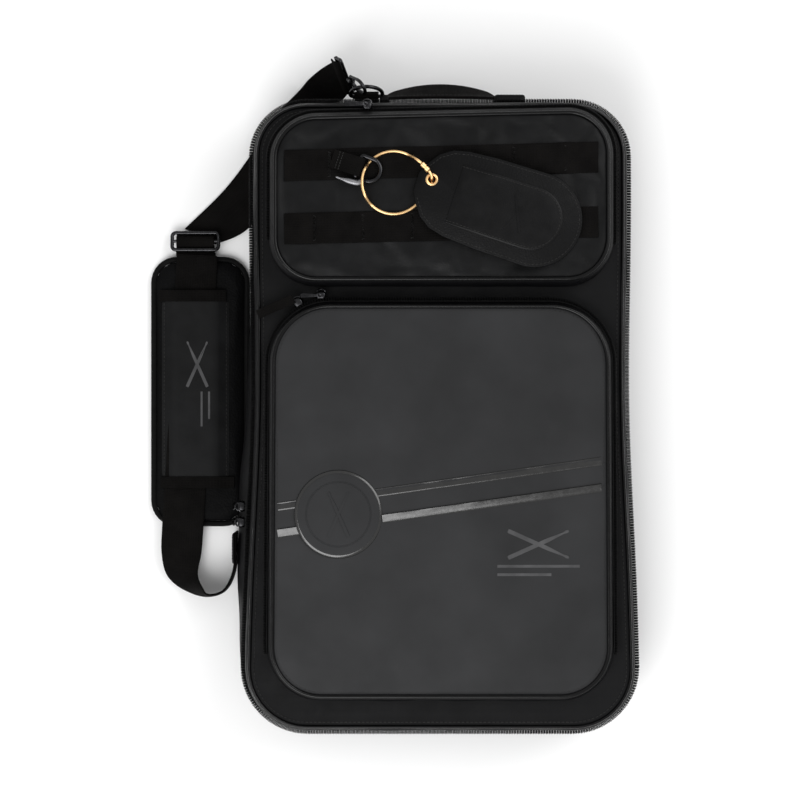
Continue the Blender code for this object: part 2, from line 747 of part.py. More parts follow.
def plate_with_hole(outline, hole, z_low, z_high):
    bm = prism(outline, z_low, z_high)
    cutter = prism(hole, z_low - 1 * MM, z_high + 1 * MM)
    bmesh.ops.recalc_face_normals(bm, faces=bm.faces)
    bmesh.ops.recalc_face_normals(cutter, faces=cutter.faces)
    solid = bpy.data.meshes.new("plate_solid")
    knife = bpy.data.meshes.new("plate_knife")
    bm.to_mesh(solid)
    cutter.to_mesh(knife)
    bm.free()
    cutter.free()
    body = bpy.data.objects.new("plate_body", solid)
    tool = bpy.data.objects.new("plate_tool", knife)
    COLLECTION.objects.link(body)
    COLLECTION.objects.link(tool)
    modifier = body.modifiers.new("hole", "BOOLEAN")
    modifier.operation = "DIFFERENCE"
    modifier.solver = "EXACT"
    modifier.object = tool
    graph = bpy.context.evaluated_depsgraph_get()
    result = bmesh.new()
    result.from_mesh(body.evaluated_get(graph).to_mesh())
    bpy.data.objects.remove(body)
    bpy.data.objects.remove(tool)
    return result


def build_handle():
    """Webbing that bows out from the top side; its rear edge lies lower and further out."""
    sections = []
    for i in range(HANDLE_STEPS + 1):
        t = i / HANDLE_STEPS
        x = HANDLE_LEFT_X + (HANDLE_RIGHT_X - HANDLE_LEFT_X) * t
        rise = max(0.0, math.sin(math.pi * t)) ** 0.75
        front = (x, 251.0 + 5.2 * rise, 49.0)
        rear = (x, 251.0 + 11.5 * rise, 23.0 + 3.0 * rise)
        sections.append((front, rear))
    place("carry_handle", ribbon(sections, 2.2 * MM), WEBBING_BLACK)

    left = (HANDLE_LEFT_X - 5.8, HANDLE_LEFT_X - 1.8)
    right = (HANDLE_RIGHT_X + 1.8, HANDLE_RIGHT_X + 23.9)
    for name, (low_x, high_x) in (("left", left), ("right", right)):
        low = (low_x * MM, TOP_SIDE_Y, 22 * MM)
        high = (high_x * MM, TOP_SIDE_Y + 5.0 * MM, 51 * MM)
        place("handle_anchor_" + name, box(low, high), LEATHER)


def build_top_ring():
    """A webbing tab sewn to the top side holds the D-ring that the strap hooks into."""
    loop_radius = D_RING_BAR.y - TOP_SIDE_Y
    length = 21.0 * MM
    origin = D_RING_BAR - Vector((0, loop_radius, length))
    matrix = frame_matrix(origin, (0, 0, 1), (0, 1, 0))
    bm = sewn_loop(length, loop_radius, 1.5 * MM, 10.0 * MM, matrix)
    place("top_ring_tab", bm, WEBBING_BLACK)

    half = D_RING_HALF_WIDTH
    straight = half - 2.5 * MM
    path = [(-half, 0.0), (-straight, 0.0), (straight, 0.0), (half, 0.0)]
    path += arc(0, 5 * MM, half, 0, 180, 10)
    bm = wire(path, D_RING_WIRE, closed=True)
    bm = turned(bm, frame_matrix(D_RING_BAR, (1, 0, 0), D_RING_UP))
    place("top_d_ring", bm, BLACK_METAL, D_RING_BAR, smooth=True)


def build_snap_hook():
    """The hook's bow goes round the D-ring; it swivels on the loop the strap is sewn to."""
    hook = frame_matrix(HOOK_CATCH, HOOK_AXIS, HOOK_ACROSS)
    bow = HOOK_BOW
    path = [(HOOK_SWIVEL, 0.0), (14.5 * MM, 4.0 * MM), (9.0 * MM, bow), (4.0 * MM, bow)]
    path += arc(0.5 * MM, 0, bow, 90, 270, 8)
    path += [(2.5 * MM, -bow)]
    bm = turned(wire(path, HOOK_WIRE), hook)
    swivel = hook @ Vector((HOOK_SWIVEL, 0, 0))
    place("strap_hook", bm, BLACK_METAL, swivel, smooth=True)

    gate = [(3.0 * MM, -bow), (13.0 * MM, -5.2 * MM)]
    pivot = hook @ Vector((*gate[1], 0.0))
    place("hook_gate", turned(wire(gate, 1.2 * MM), hook), BLACK_METAL, pivot, smooth=True)

    half = 18.0 * MM
    path = [(19.5 * MM, -half), (19.5 * MM, 0.0), (19.5 * MM, half)]
    path += [(27.0 * MM, half), (27.0 * MM, 0.0), (27.0 * MM, -half)]
    bm = turned(wire(path, 1.2 * MM, closed=True), hook)
    place("hook_strap_loop", bm, BLACK_METAL, swivel, smooth=True)


def build_strap():
    """Webbing in two lengths, as edge points in millimetres from the hook to the sewn end."""
    upper = (
        ((-83.6, 283.4, 49.4), (-74.2, 259.2, 30.6)),
        ((-103.0, 269.5, 14.0), (-88.0, 251.5, 6.0)),
        ((-112.0, 262.5, 0.3), (-92.0, 240.5, 0.3)),
        ((-132.2, 241.8, 0.3), (-104.6, 222.0, 0.3)),
        ((-147.5, 216.8, 0.3), (-119.9, 196.9, 0.3)),
        ((-172.5, 183.0, 0.3), (-152.4, 152.4, 0.3)),
        ((-205.0, 151.0, 0.8), (-180.0, 138.5, 0.8)),
    )
    place("strap_upper", ribbon(upper), WEBBING_BLACK)
    lower = (
        ((-211.0, 147.5, 0.8), (-181.0, 136.8, 0.8)),
        ((-211.5, 136.5, 3.6), (-180.5, 134.0, 3.6)),
        ((-211.5, 129.8, 8.0), (-179.5, 128.6, 8.0)),
        ((-211.0, 124.0, 9.8), (-178.2, 122.2, 9.8)),
        ((-222.5, -88.0, 9.8), (-189.4, -90.0, 9.8)),
        ((-223.0, -110.5, 9.0), (-191.0, -110.0, 9.8)),
        ((-219.0, -128.0, 4.0), (-193.5, -126.0, 17.0)),
        ((-206.5, -139.0, 2.0), (-189.5, -136.0, 29.0)),
        ((-188.0, -145.0, 1.0), (-184.0, -142.0, 32.0)),
        ((-172.0, -140.0, 2.0), (-171.5, -138.0, 34.0)),
        ((-163.2, -122.0, 4.0), (-163.2, -121.0, 36.5)),
        ((-161.8, -92.0, 5.0), (-161.8, -92.0, 38.0)),
    )
    place("strap_lower", ribbon(lower, 1.6 * MM), WEBBING_BLACK)
    patch = box((-164.5 * MM, -117 * MM, 4 * MM), (-163.5 * MM, -93 * MM, 39 * MM))
    place("strap_anchor_patch", patch, LEATHER)

    # Tri-glide: a flat frame whose middle bar the webbing is threaded over
    outer = rounded_rectangle(40 * MM, 17 * MM, 3.5 * MM)
    inner = rounded_rectangle(34.5 * MM, 11.5 * MM, 1.5 * MM)
    half = 1.4 * MM
    matrix = Matrix.Translation(TRI_GLIDE_CENTRE)
    matrix @= Matrix.Rotation(TRI_GLIDE_TILT, 4, "X")
    rings = (
        at_height(outer, -half),
        at_height(outer, half),
        at_height(inner, half),
        at_height(inner, -half),
    )
    place("tri_glide", turned(loft(rings, closed=True), matrix), BLACK_METAL)


def build_shoulder_pad():
    """A cushion under the strap, and a panel with two bands that hold the strap on it."""
    matrix = Matrix.Translation(PAD_CENTRE)
    loops = []
    for inset, z in ((3.0, 0.3), (0.0, 2.8), (0.3, 6.0), (5.0, 9.2)):
        width, length = PAD_WIDTH - 2 * inset, PAD_LENGTH - 2 * inset
        outline = rounded_rectangle(width * MM, length * MM, (18.0 - inset) * MM, 5)
        loops.append(at_height(outline, z * MM))
    place("shoulder_pad", turned(loft(loops), matrix), FOAM_MESH, PAD_CENTRE)

    low = (-30.6 * MM, -68.4 * MM, 11.8 * MM)
    high = (23.3 * MM, 72.4 * MM, 13.2 * MM)
    place("pad_panel", turned(box(low, high), matrix), GREY_PANEL, PAD_CENTRE)
    for name, y, low_x, high_x in (("upper", 76.9, -32.3, 20.7), ("lower", -72.9, -31.3, 27.7)):
        low = (low_x * MM, (y - 4.2) * MM, 11.8 * MM)
        high = (high_x * MM, (y + 4.2) * MM, 13.6 * MM)
        place("pad_band_" + name, turned(box(low, high), matrix), WEBBING_BLACK, PAD_CENTRE)


def side_x(y):
    """Half the case's width at this height up the case."""
    return SIDE_X - TAPER * y


def zip_slider(name, foot, outward):
    """A slider block beside its chain, from foot on the chain's outer edge."""
    outward = Vector(outward).normalized()
    along = outward.cross((0, 0, 1))
    matrix = frame_matrix(foot, along, outward)
    low = (-SLIDER_LENGTH / 2, 0.0, -SLIDER_HEIGHT / 2)
    high = (SLIDER_LENGTH / 2, SLIDER_DEPTH, SLIDER_HEIGHT / 2)
    place(name, turned(box(low, high), matrix), BLACK_METAL, foot)


def zip_pull(name, pin, direction, across, length, width, finish):
    """A flat pull that starts at its pin."""
    matrix = frame_matrix(pin, direction, across)
    low = (0.0, -width / 2, -0.6 * MM)
    high = (length, width / 2, 0.6 * MM)
    place(name, turned(box(low, high), matrix), finish, pin)


def build_sliders():
    # The main zip's sliders meet on the left side, below the middle
    for name, y in (("upper", -71.0 * MM), ("lower", -83.5 * MM)):
        foot = (-side_x(y) - GAP, y, ZIP_Z)
        zip_slider("main_slider_" + name, foot, (-1, 0, 0))
        pin = (foot[0] - SLIDER_DEPTH - 1.0 * MM, y, ZIP_Z)
        pull = (pin, (-0.3, 0, -0.954), (0, 1, 0), 9.5 * MM, 6 * MM, BLACK_METAL)
        zip_pull("main_pull_" + name, *pull)

    # Lower pocket: one slider on the top left corner, one at the start of the top side
    z = 86.5 * MM
    turn = math.radians(CORNER_SLIDER_ANGLE)
    outward = Vector((math.cos(turn), math.sin(turn), 0.0))
    corner = Vector(LOWER_CORNER)
    zip_slider("pocket_slider_corner", corner + outward * CORNER_CHAIN_RADIUS, outward)
    pin = (-114.5 * MM, 91.5 * MM, 91.8 * MM)
    pull = (pin, (-0.9, -0.388, -0.202), (-0.396, 0.918, 0), 32 * MM, 7 * MM, WEBBING_BLACK)
    zip_pull("pocket_pull_corner", *pull)

    zip_slider("pocket_slider_top", (-93 * MM, LOWER_TOP_Y + 3.6 * MM, z), (0, 1, 0))
    pin = (-93 * MM, LOWER_TOP_Y + 4.7 * MM, 91.1 * MM)
    zip_pull("pocket_pull_top", pin, (-1, 0, 0), (0, 1, 0), 16 * MM, 3.6 * MM, BLACK_METAL)

    # Upper pocket: one slider on the top side, near the D-ring
    y = UPPER_TOP_Y - 1.3 * MM + 3.6 * MM
    zip_slider("upper_slider", (-57 * MM, y, 90 * MM), (UPPER_RISE_TURN, 1, 0))
    pin = (-57 * MM, y + 2.5 * MM, 94.6 * MM)
    pull = (pin, (-1, UPPER_RISE_TURN, 0), (0, 1, 0), 18 * MM, 4.6 * MM, BLACK_METAL)
    zip_pull("upper_pull", *pull)


clear_scene()
build_rear_half()
build_lid()
build_lower_pocket()
build_upper_pocket()
build_key_clip()
build_cable_ring()
build_tag()
build_handle()
build_top_ring()
build_snap_hook()
build_strap()
build_shoulder_pad()
build_sliders()
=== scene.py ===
"""Looks for the drum stick bag: fabric, webbing, leather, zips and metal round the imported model.

Lengths are in millimetres here and become metres as each mesh is made. The frame is the
model's own: +Z out of the front of the bag, +Y to the handle end, +X to the hinged side.
"""

import math

import bmesh
import bpy
from mathutils import Matrix, Vector, noise
from mathutils.bvhtree import BVHTree


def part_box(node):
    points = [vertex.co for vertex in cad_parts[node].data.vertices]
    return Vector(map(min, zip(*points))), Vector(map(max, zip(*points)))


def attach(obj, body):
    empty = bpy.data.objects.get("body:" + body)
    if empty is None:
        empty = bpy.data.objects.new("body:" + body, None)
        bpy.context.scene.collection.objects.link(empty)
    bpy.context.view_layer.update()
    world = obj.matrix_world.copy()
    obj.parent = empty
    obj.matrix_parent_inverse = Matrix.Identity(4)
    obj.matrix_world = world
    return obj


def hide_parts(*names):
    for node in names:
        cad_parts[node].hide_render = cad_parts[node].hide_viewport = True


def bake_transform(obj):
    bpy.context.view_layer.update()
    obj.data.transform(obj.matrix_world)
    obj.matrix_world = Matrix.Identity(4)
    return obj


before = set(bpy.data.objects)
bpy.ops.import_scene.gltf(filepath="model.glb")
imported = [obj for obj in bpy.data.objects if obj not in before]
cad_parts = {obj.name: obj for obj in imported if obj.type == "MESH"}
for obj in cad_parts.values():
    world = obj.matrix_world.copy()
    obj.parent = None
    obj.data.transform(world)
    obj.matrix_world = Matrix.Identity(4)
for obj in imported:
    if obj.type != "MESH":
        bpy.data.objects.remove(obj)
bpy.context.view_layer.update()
MM = 0.001
# Without a seed of its own, mathutils.noise.noise_vector takes one from the clock
noise.seed_set(7)


# ---------------------------------------------------------------- outlines


def arc(cx, cy, radius, start, end, steps):
    """Points from start to end in degrees, the last one left out."""
    points = []
    for i in range(steps):
        turn = math.radians(start + (end - start) * i / steps)
        points.append((cx + radius * math.cos(turn), cy + radius * math.sin(turn)))
    return points


def line(a, b, steps):
    """Points from a to b, the last one left out."""
    return [tuple(p + (q - p) * i / steps for p, q in zip(a, b)) for i in range(steps)]


def rounded(half_low, half_high, low, high, r_low, r_high, inset=0.0, steps=(10, 40, 24)):
    """A counter-clockwise outline with round corners, from the left end of its low side."""
    corner, side, end = steps
    y0, y1 = low + inset, high - inset
    a, b = half_low - inset, half_high - inset
    r0, r1 = max(r_low - inset, 1.0), max(r_high - inset, 1.0)
    points = line((r0 - a, y0), (a - r0, y0), end)
    points += arc(a - r0, y0 + r0, r0, -90, 0, corner)
    points += line((a, y0 + r0), (b, y1 - r1), side)
    points += arc(b - r1, y1 - r1, r1, 0, 90, corner)
    points += line((b - r1, y1), (r1 - b, y1), end)
    points += arc(r1 - b, y1 - r1, r1, 90, 180, corner)
    points += line((-b, y1 - r1), (-a, y0 + r0), side)
    points += arc(r0 - a, y0 + r0, r0, 180, 270, corner)
    return points


CASE = dict(half_low=156.5, half_high=150.0, low=-249.5, high=249.5, r_low=52.0, r_high=45.0)
LOWER = dict(half_low=134.8, half_high=133.4, low=-221.0, high=89.5, r_low=42.0, r_high=48.0)
UPPER = dict(half_low=133.3, half_high=133.3, low=102.5, high=238.0, r_low=36.0, r_high=36.0)
UPPER_CENTRE_X = 0.8
UPPER_RISE = 3.0


def case_loop(inset, steps=(10, 40, 24)):
    """The case's outline, drawn in a little at the waist."""
    points = []
    for x, y in rounded(**CASE, inset=inset, steps=steps):
        waist = 4.8 * math.exp(-(((y - 10) / 120) ** 2))
        points.append((x * (1 - waist / 152), y))
    return points


def lower_loop(inset, steps=(12, 40, 30)):
    return rounded(**LOWER, inset=inset, steps=steps)


def climb(x, y):
    """The upper pocket's top edge climbs to the right."""
    share = (y - UPPER["low"]) / (UPPER["high"] - UPPER["low"])
    return y + UPPER_RISE * x / UPPER["half_high"] * share


def upper_loop(inset, steps=(12, 18, 36)):
    points = rounded(**UPPER, inset=inset, steps=steps)
    return [(x + UPPER_CENTRE_X, climb(x, y)) for x, y in points]


def raised(points, z):
    return [Vector((x, y, z)) for x, y in points]


def side_normal(points, i, closed=True):
    """Unit vector across the path, to its right as it runs."""
    count = len(points)
    if closed:
        ahead, behind = points[(i + 1) % count], points[i - 1]
    else:
        ahead, behind = points[min(i + 1, count - 1)], points[max(i - 1, 0)]
    along = Vector((ahead[0] - behind[0], ahead[1] - behind[1]))
    return Vector((along.y, -along.x, 0)).normalized()


# ---------------------------------------------------------------- mesh building


def loft(loops, cap_first=True, cap_last=True, ring=False, closed=True):
    """Faces between loops of the same number of points."""
    verts = [Vector(p) for loop in loops for p in loop]
    count = len(loops[0])
    faces = []
    pairs = [(i, i + 1) for i in range(len(loops) - 1)]
    if ring:
        pairs.append((len(loops) - 1, 0))
    for a, b in pairs:
        for j in range(count if closed else count - 1):
            k = (j + 1) % count
            faces.append((a * count + j, a * count + k, b * count + k, b * count + j))
    if not ring:
        if cap_first:
            faces.append(tuple(range(count - 1, -1, -1)))
        if cap_last:
            last = (len(loops) - 1) * count
            faces.append(tuple(range(last, last + count)))
    return verts, faces


def tangents(points, closed):
    count = len(points)
    found = []
    for i in range(count):
        if closed:
            step = points[(i + 1) % count] - points[i - 1]
        else:
            step = points[min(i + 1, count - 1)] - points[max(i - 1, 0)]
        found.append(step.normalized())
    return found


def tube(points, radius, sides=10, closed=False, flat=1.0):
    """A round bar along the points, of one radius or one for each point; flat squeezes it."""
    points = [Vector(p) for p in points]
    along = tangents(points, closed)
    up = Vector((0, 0, 1))
    across = along[0].cross(up)
    if across.length < 0.1:
        across = along[0].cross(Vector((1, 0, 0)))
    across.normalize()
    loops = []
    for i, (point, tangent) in enumerate(zip(points, along)):
        if i:
            across = along[i - 1].rotation_difference(tangent) @ across
        across = (across - tangent * across.dot(tangent)).normalized()
        other = tangent.cross(across)
        size = radius[i] if isinstance(radius, (list, tuple)) else radius
        loop = []
        for j in range(sides):
            turn = 2 * math.pi * j / sides
            offset = across * math.cos(turn) * size + other * math.sin(turn) * size * flat
            loop.append(point + offset)
        loops.append(loop)
    return loft(loops, ring=closed)


def smooth_path(points, steps, closed=False):
    """A Catmull-Rom curve through the points, as a list with steps spans between neighbours."""
    points = [Vector(p) for p in points]
    count = len(points)
    spans = count if closed else count - 1
    path = []
    for i in range(spans):
        if closed:
            p0, p1, p2, p3 = (points[(i + k) % count] for k in (-1, 0, 1, 2))
        else:
            p0, p3 = points[max(i - 1, 0)], points[min(i + 2, count - 1)]
            p1, p2 = points[i], points[i + 1]
        for k in range(steps):
            t = k / steps
            a = p1 * 2 + (p2 - p0) * t + (p0 * 2 - p1 * 5 + p2 * 4 - p3) * t * t
            path.append((a + (p1 * 3 - p0 - p2 * 3 + p3) * t**3) * 0.5)
    if not closed:
        path.append(points[-1])
    return path


def resample(points, pitch, closed=False):
    """(place, direction) at even steps of about pitch along the points."""
    points = [Vector(p) for p in points]
    if closed:
        points.append(points[0])
    lengths = [(b - a).length for a, b in zip(points, points[1:])]
    total = sum(lengths)
    count = max(1, round(total / pitch))
    found = []
    index, passed = 0, 0.0
    for i in range(count if closed else count + 1):
        target = min(total * i / count, total - 1e-6)
        while passed + lengths[index] < target:
            passed += lengths[index]
            index += 1
        a, b = points[index], points[index + 1]
        share = (target - passed) / lengths[index]
        found.append((a.lerp(b, share), (b - a).normalized()))
    return found


def lump(place, along, up, size, taper=0.7):
    """A small pillow-shaped body: size is its length, width and height."""
    across = up.cross(along).normalized()
    up = along.cross(across)
    length, width, height = (s / 2 for s in size)
    loops = []
    for end, scale in ((-1.0, taper * 0.6), (-0.6, 1.0), (0.6, 1.0), (1.0, taper * 0.6)):
        loop = []
        for j in range(6):
            turn = math.pi * (2 * j + 1) / 6
            offset = across * math.cos(turn) * width + up * math.sin(turn) * height
            loop.append(place + along * length * end + offset * scale)
        loops.append(loop)
    return loft(loops)


def joined(parts):
    verts, faces = [], []
    for part_verts, part_faces in parts:
        base = len(verts)
        verts += part_verts
        faces += [tuple(base + i for i in face) for face in part_faces]
    return verts, faces


def stitches(points, pitch=3.4, length=2.3, thickness=0.55, up=(0, 0, 1), closed=False):
    """A row of thread stitches that stand a little proud of the surface."""
    up = Vector(up)
    parts = []
    for place, along in resample(points, pitch, closed):
        parts.append(lump(place, along, up, (length, thickness * 1.1, thickness)))
    return joined(parts)


SECTION = (-1.0, -0.985, -0.93, -0.86, -0.55, 0.0, 0.55, 0.86, 0.93, 0.985, 1.0)
SECTION_HEIGHT = (0.1, 0.42, 0.56, 0.5, 0.46, 0.46, 0.46, 0.5, 0.56, 0.42, 0.1)


def webbing(edges, thickness=1.5, steps=8):
    """Woven tape between two edges: (left, right) points, with a thicker selvedge. Has a UV run."""
    left = smooth_path([a for a, b in edges], steps)
    right = smooth_path([b for a, b in edges], steps)
    middle = [(a + b) / 2 for a, b in zip(left, right)]
    along = tangents(middle, False)
    loops, runs = [], []
    run = 0.0
    for i, centre in enumerate(middle):
        if i:
            run += (centre - middle[i - 1]).length
        half = (right[i] - left[i]) / 2
        normal = half.cross(along[i]).normalized()
        top = list(zip(SECTION, SECTION_HEIGHT))
        bottom = [(k, -h) for k, h in reversed(top)]
        loops.append([centre + half * k + normal * h * thickness for k, h in top + bottom])
        runs += [(run * MM, half.length * k * MM) for k, h in top + bottom]
    verts, faces = loft(loops)
    return verts, faces, runs


def grid_panel(half, low, high, radii, spacing, height):
    """A round-cornered sheet of even squares. Returns its points, faces and border indices."""
    centre_y = (low + high) / 2
    half_y = (high - low) / 2
    columns = max(8, round(2 * half / spacing))
    rows = max(8, round(2 * half_y / spacing))
    verts, faces = [], []
    for j in range(rows + 1):
        for i in range(columns + 1):
            x = -half + 2 * half * i / columns
            y = -half_y + 2 * half_y * j / rows
            radius = radii[0] if y < 0 else radii[1]
            px = (abs(x) - half + radius) / radius
            py = (abs(y) - half_y + radius) / radius
            if px > 0 and py > 0:
                qx = px * math.sqrt(1 - py * py / 2)
                qy = py * math.sqrt(1 - px * px / 2)
                x = math.copysign(half - radius + qx * radius, x)
                y = math.copysign(half_y - radius + qy * radius, y)
            verts.append(Vector((x, y + centre_y, height)))
    wide = columns + 1
    for j in range(rows):
        for i in range(columns):
            a = j * wide + i
            faces.append((a, a + 1, a + wide + 1, a + wide))
    border = list(range(wide))
    border += [j * wide + columns for j in range(1, rows + 1)]
    border += [rows * wide + i for i in range(columns - 1, -1, -1)]
    border += [j * wide for j in range(rows - 1, 0, -1)]
    return verts, faces, border


def offset_loop(outline, outward, z=None):
    """The outline moved outwards, and to height z if one is given."""
    flat = [(p.x, p.y) for p in outline]
    moved = []
    for i, point in enumerate(outline):
        out = side_normal(flat, i) * outward
        moved.append(Vector((point.x, point.y, point.z if z is None else z)) + out)
    return moved


def bridge(first, second):
    """Faces between two rings of point indices."""
    count = len(first)
    return [(first[j], second[j], second[(j + 1) % count], first[(j + 1) % count])
            for j in range(count)]


def lining_under(verts, drop=1.3, inward=0.6):
    """The sheet's points again, a little lower and drawn in to the middle."""
    centre = sum(verts, Vector()) / len(verts)
    steps = [(centre - point).normalized() * inward for point in verts]
    return [Vector((p.x + s.x, p.y + s.y, p.z - drop)) for p, s in zip(verts, steps)]


def rimmed(verts, faces, border, sections, under):
    """A sheet with a hollow rim: its border carried on through (outward, height) steps, then
    back to the points under the sheet."""
    outline = [verts[i] for i in border]
    previous = border
    sheet, points, faces = faces, list(verts), list(faces)
    for outward, z in sections:
        ring = list(range(len(points), len(points) + len(border)))
        points += offset_loop(outline, outward, z)
        faces += bridge(previous, ring)
        previous = ring
    base = len(points)
    faces += [tuple(base + i for i in reversed(face)) for face in sheet]
    faces += bridge(previous, [base + i for i in border])
    return points + under, faces


def turned(profile, centre, sides=48, ring=True):
    """A (radius, height) profile carried round the Z axis at the centre."""
    loops = []
    for radius, z in profile:
        circle = arc(centre[0], centre[1], radius, 0, 360, sides)
        loops.append([Vector((x, y, z)) for x, y in circle])
    return loft(loops, ring=ring)


def strip(rings):
    """A solid band whose cross-section is one point from each ring."""
    return loft(list(zip(*rings)))


def eased(value, low, high):
    t = min(1.0, max(0.0, (value - low) / (high - low)))
    return t * t * (3 - 2 * t)


def axes(origin, x_axis, y_axis):
    """The matrix that carries a drawing plane to origin, with these axes."""
    x_axis = Vector(x_axis).normalized()
    z_axis = x_axis.cross(Vector(y_axis)).normalized()
    matrix = Matrix((x_axis, z_axis.cross(x_axis), z_axis)).transposed().to_4x4()
    matrix.translation = Vector(origin)
    return matrix


def carried(matrix, shape):
    return ([matrix @ Vector(v) for v in shape[0]], *shape[1:])


# ---------------------------------------------------------------- objects


def add_object(name, data):
    obj = bpy.data.objects.new(name, data)
    bpy.context.scene.collection.objects.link(obj)
    return obj


def discard(obj):
    mesh = obj.data
    bpy.data.objects.remove(obj)
    bpy.data.meshes.remove(mesh)


def evaluated(obj):
    """The points and faces of an object with its modifiers applied."""
    mesh = obj.evaluated_get(bpy.context.evaluated_depsgraph_get()).to_mesh()
    points = [Vector(v.co / MM) for v in mesh.vertices]
    return points, [tuple(p.vertices) for p in mesh.polygons]


def make_mesh(name, verts, faces, runs=None):
    mesh = bpy.data.meshes.new(name)
    mesh.from_pydata([tuple(v * MM for v in p) for p in verts], [], faces)
    if runs:
        layer = mesh.uv_layers.new(name="run")
        for loop in mesh.loops:
            layer.data[loop.index].uv = runs[loop.vertex_index]
    bm = bmesh.new()
    bm.from_mesh(mesh)
    bmesh.ops.recalc_face_normals(bm, faces=bm.faces)
    bm.to_mesh(mesh)
    bm.free()
    return mesh


def piece(name, shape, finish, body=None, stands_for=(), slot=None, angle=50, bend=None):
    """Makes one visible piece and ties it to its body; a piece given a bend keeps its points where
    they are and is tied to no body.
    """
    mesh = make_mesh(name, *shape)
    mesh.materials.append(finish)
    for polygon in mesh.polygons:
        polygon.use_smooth = True
    mesh.set_sharp_from_angle(angle=math.radians(angle))
    obj = add_object(name, mesh)
    if bend:
        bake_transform(obj)
    elif body:
        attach(obj, body)
    if stands_for:
        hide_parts(*stands_for)
    # The model's own materials may have taken the plain name, which leaves this one a number
    title = finish.name.split(".")[0]
    slot = slot or SLOTS.get(title, title)
    return obj


# ---------------------------------------------------------------- finishes


def wave(nodes, coordinate, direction, pitch):
    """Ripples of that pitch in millimetres along one axis of the coordinate."""
    node = nodes.new("ShaderNodeTexWave")
    node.bands_direction = direction
    node.inputs["Scale"].default_value = 0.314159 / (pitch * MM)
    nodes.id_data.links.new(coordinate, node.inputs["Vector"])
    return node.outputs["Fac"]


def combine(nodes, operation, first, second):
    node = nodes.new("ShaderNodeMath")
    node.operation = operation
    for socket, value in zip(node.inputs, (first, second)):
        if isinstance(value, float):
            socket.default_value = value
        else:
            nodes.id_data.links.new(value, socket)
    return node.outputs[0]


def cloud(nodes, coordinate, size, detail=4.0):
    node = nodes.new("ShaderNodeTexNoise")
    node.inputs["Scale"].default_value = 1 / (size * MM)
    node.inputs["Detail"].default_value = detail
    nodes.id_data.links.new(coordinate, node.inputs["Vector"])
    return node.outputs["Fac"]


def cells(nodes, coordinate, size):
    node = nodes.new("ShaderNodeTexVoronoi")
    node.inputs["Scale"].default_value = 1 / (size * MM)
    nodes.id_data.links.new(coordinate, node.inputs["Vector"])
    return node.outputs["Distance"]


def spread(nodes, value, low, high):
    """Maps the middle of a noise's range to low..high."""
    node = nodes.new("ShaderNodeMapRange")
    node.inputs["From Min"].default_value = 0.3
    node.inputs["From Max"].default_value = 0.7
    node.inputs["To Min"].default_value = low
    node.inputs["To Max"].default_value = high
    nodes.id_data.links.new(value, node.inputs["Value"])
    return node.outputs["Result"]


def pattern_height(nodes, place, kind, pitch):
    if kind == "weave":
        ripples = [wave(nodes, place, axis, pitch) for axis in "XYZ"]
        pair = combine(nodes, "ADD", ripples[0], ripples[1])
        return combine(nodes, "ADD", pair, ripples[2])
    if kind == "ribs":
        run = nodes.new("ShaderNodeUVMap")
        run.uv_map = "run"
        weft = wave(nodes, run.outputs["UV"], "X", pitch)
        warp = wave(nodes, run.outputs["UV"], "Y", pitch * 1.7)
        return combine(nodes, "ADD", weft, combine(nodes, "MULTIPLY", warp, 0.6))
    if kind == "mesh":
        holes = cells(nodes, place, pitch)
        return combine(nodes, "MULTIPLY", holes, 2.0)
    fine = cloud(nodes, place, pitch * 0.6, 6.0)
    return combine(nodes, "ADD", cells(nodes, place, pitch), fine)


def make_finish(name, color, roughness, metallic=0.0, kind="grain", pitch=1.0, depth=0.05,
                mottle=0.25, patch=30.0, rough_range=0.07, **sockets):
    """A surface with broad patches of tone, uneven gloss and a fine raised pattern."""
    mat = bpy.data.materials.new(name)
    mat.use_nodes = True
    tree = mat.node_tree
    nodes, links = tree.nodes, tree.links
    shader = nodes["Principled BSDF"]
    shader.inputs["Metallic"].default_value = metallic
    for socket, value in sockets.items():
        title = socket.replace("_", " ").title().replace("Ior", "IOR")
        shader.inputs[title].default_value = value
    place = nodes.new("ShaderNodeTexCoord").outputs["Object"]
    patches = cloud(nodes, place, patch)
    tint = nodes.new("ShaderNodeMix")
    tint.data_type = "RGBA"
    tint.inputs["A"].default_value = (*(c * (1 - mottle) for c in color), 1)
    tint.inputs["B"].default_value = (*(c * (1 + mottle) for c in color), 1)
    links.new(spread(nodes, patches, 0.0, 1.0), tint.inputs["Factor"])
    links.new(tint.outputs["Result"], shader.inputs["Base Color"])
    gloss = cloud(nodes, place, patch * 0.37, 3.0)
    links.new(spread(nodes, gloss, roughness - rough_range, roughness + rough_range),
              shader.inputs["Roughness"])
    bump = nodes.new("ShaderNodeBump")
    bump.inputs["Strength"].default_value = 1.0
    bump.inputs["Distance"].default_value = depth * MM
    links.new(pattern_height(nodes, place, kind, pitch), bump.inputs["Height"])
    links.new(bump.outputs["Normal"], shader.inputs["Normal"])
    return mat


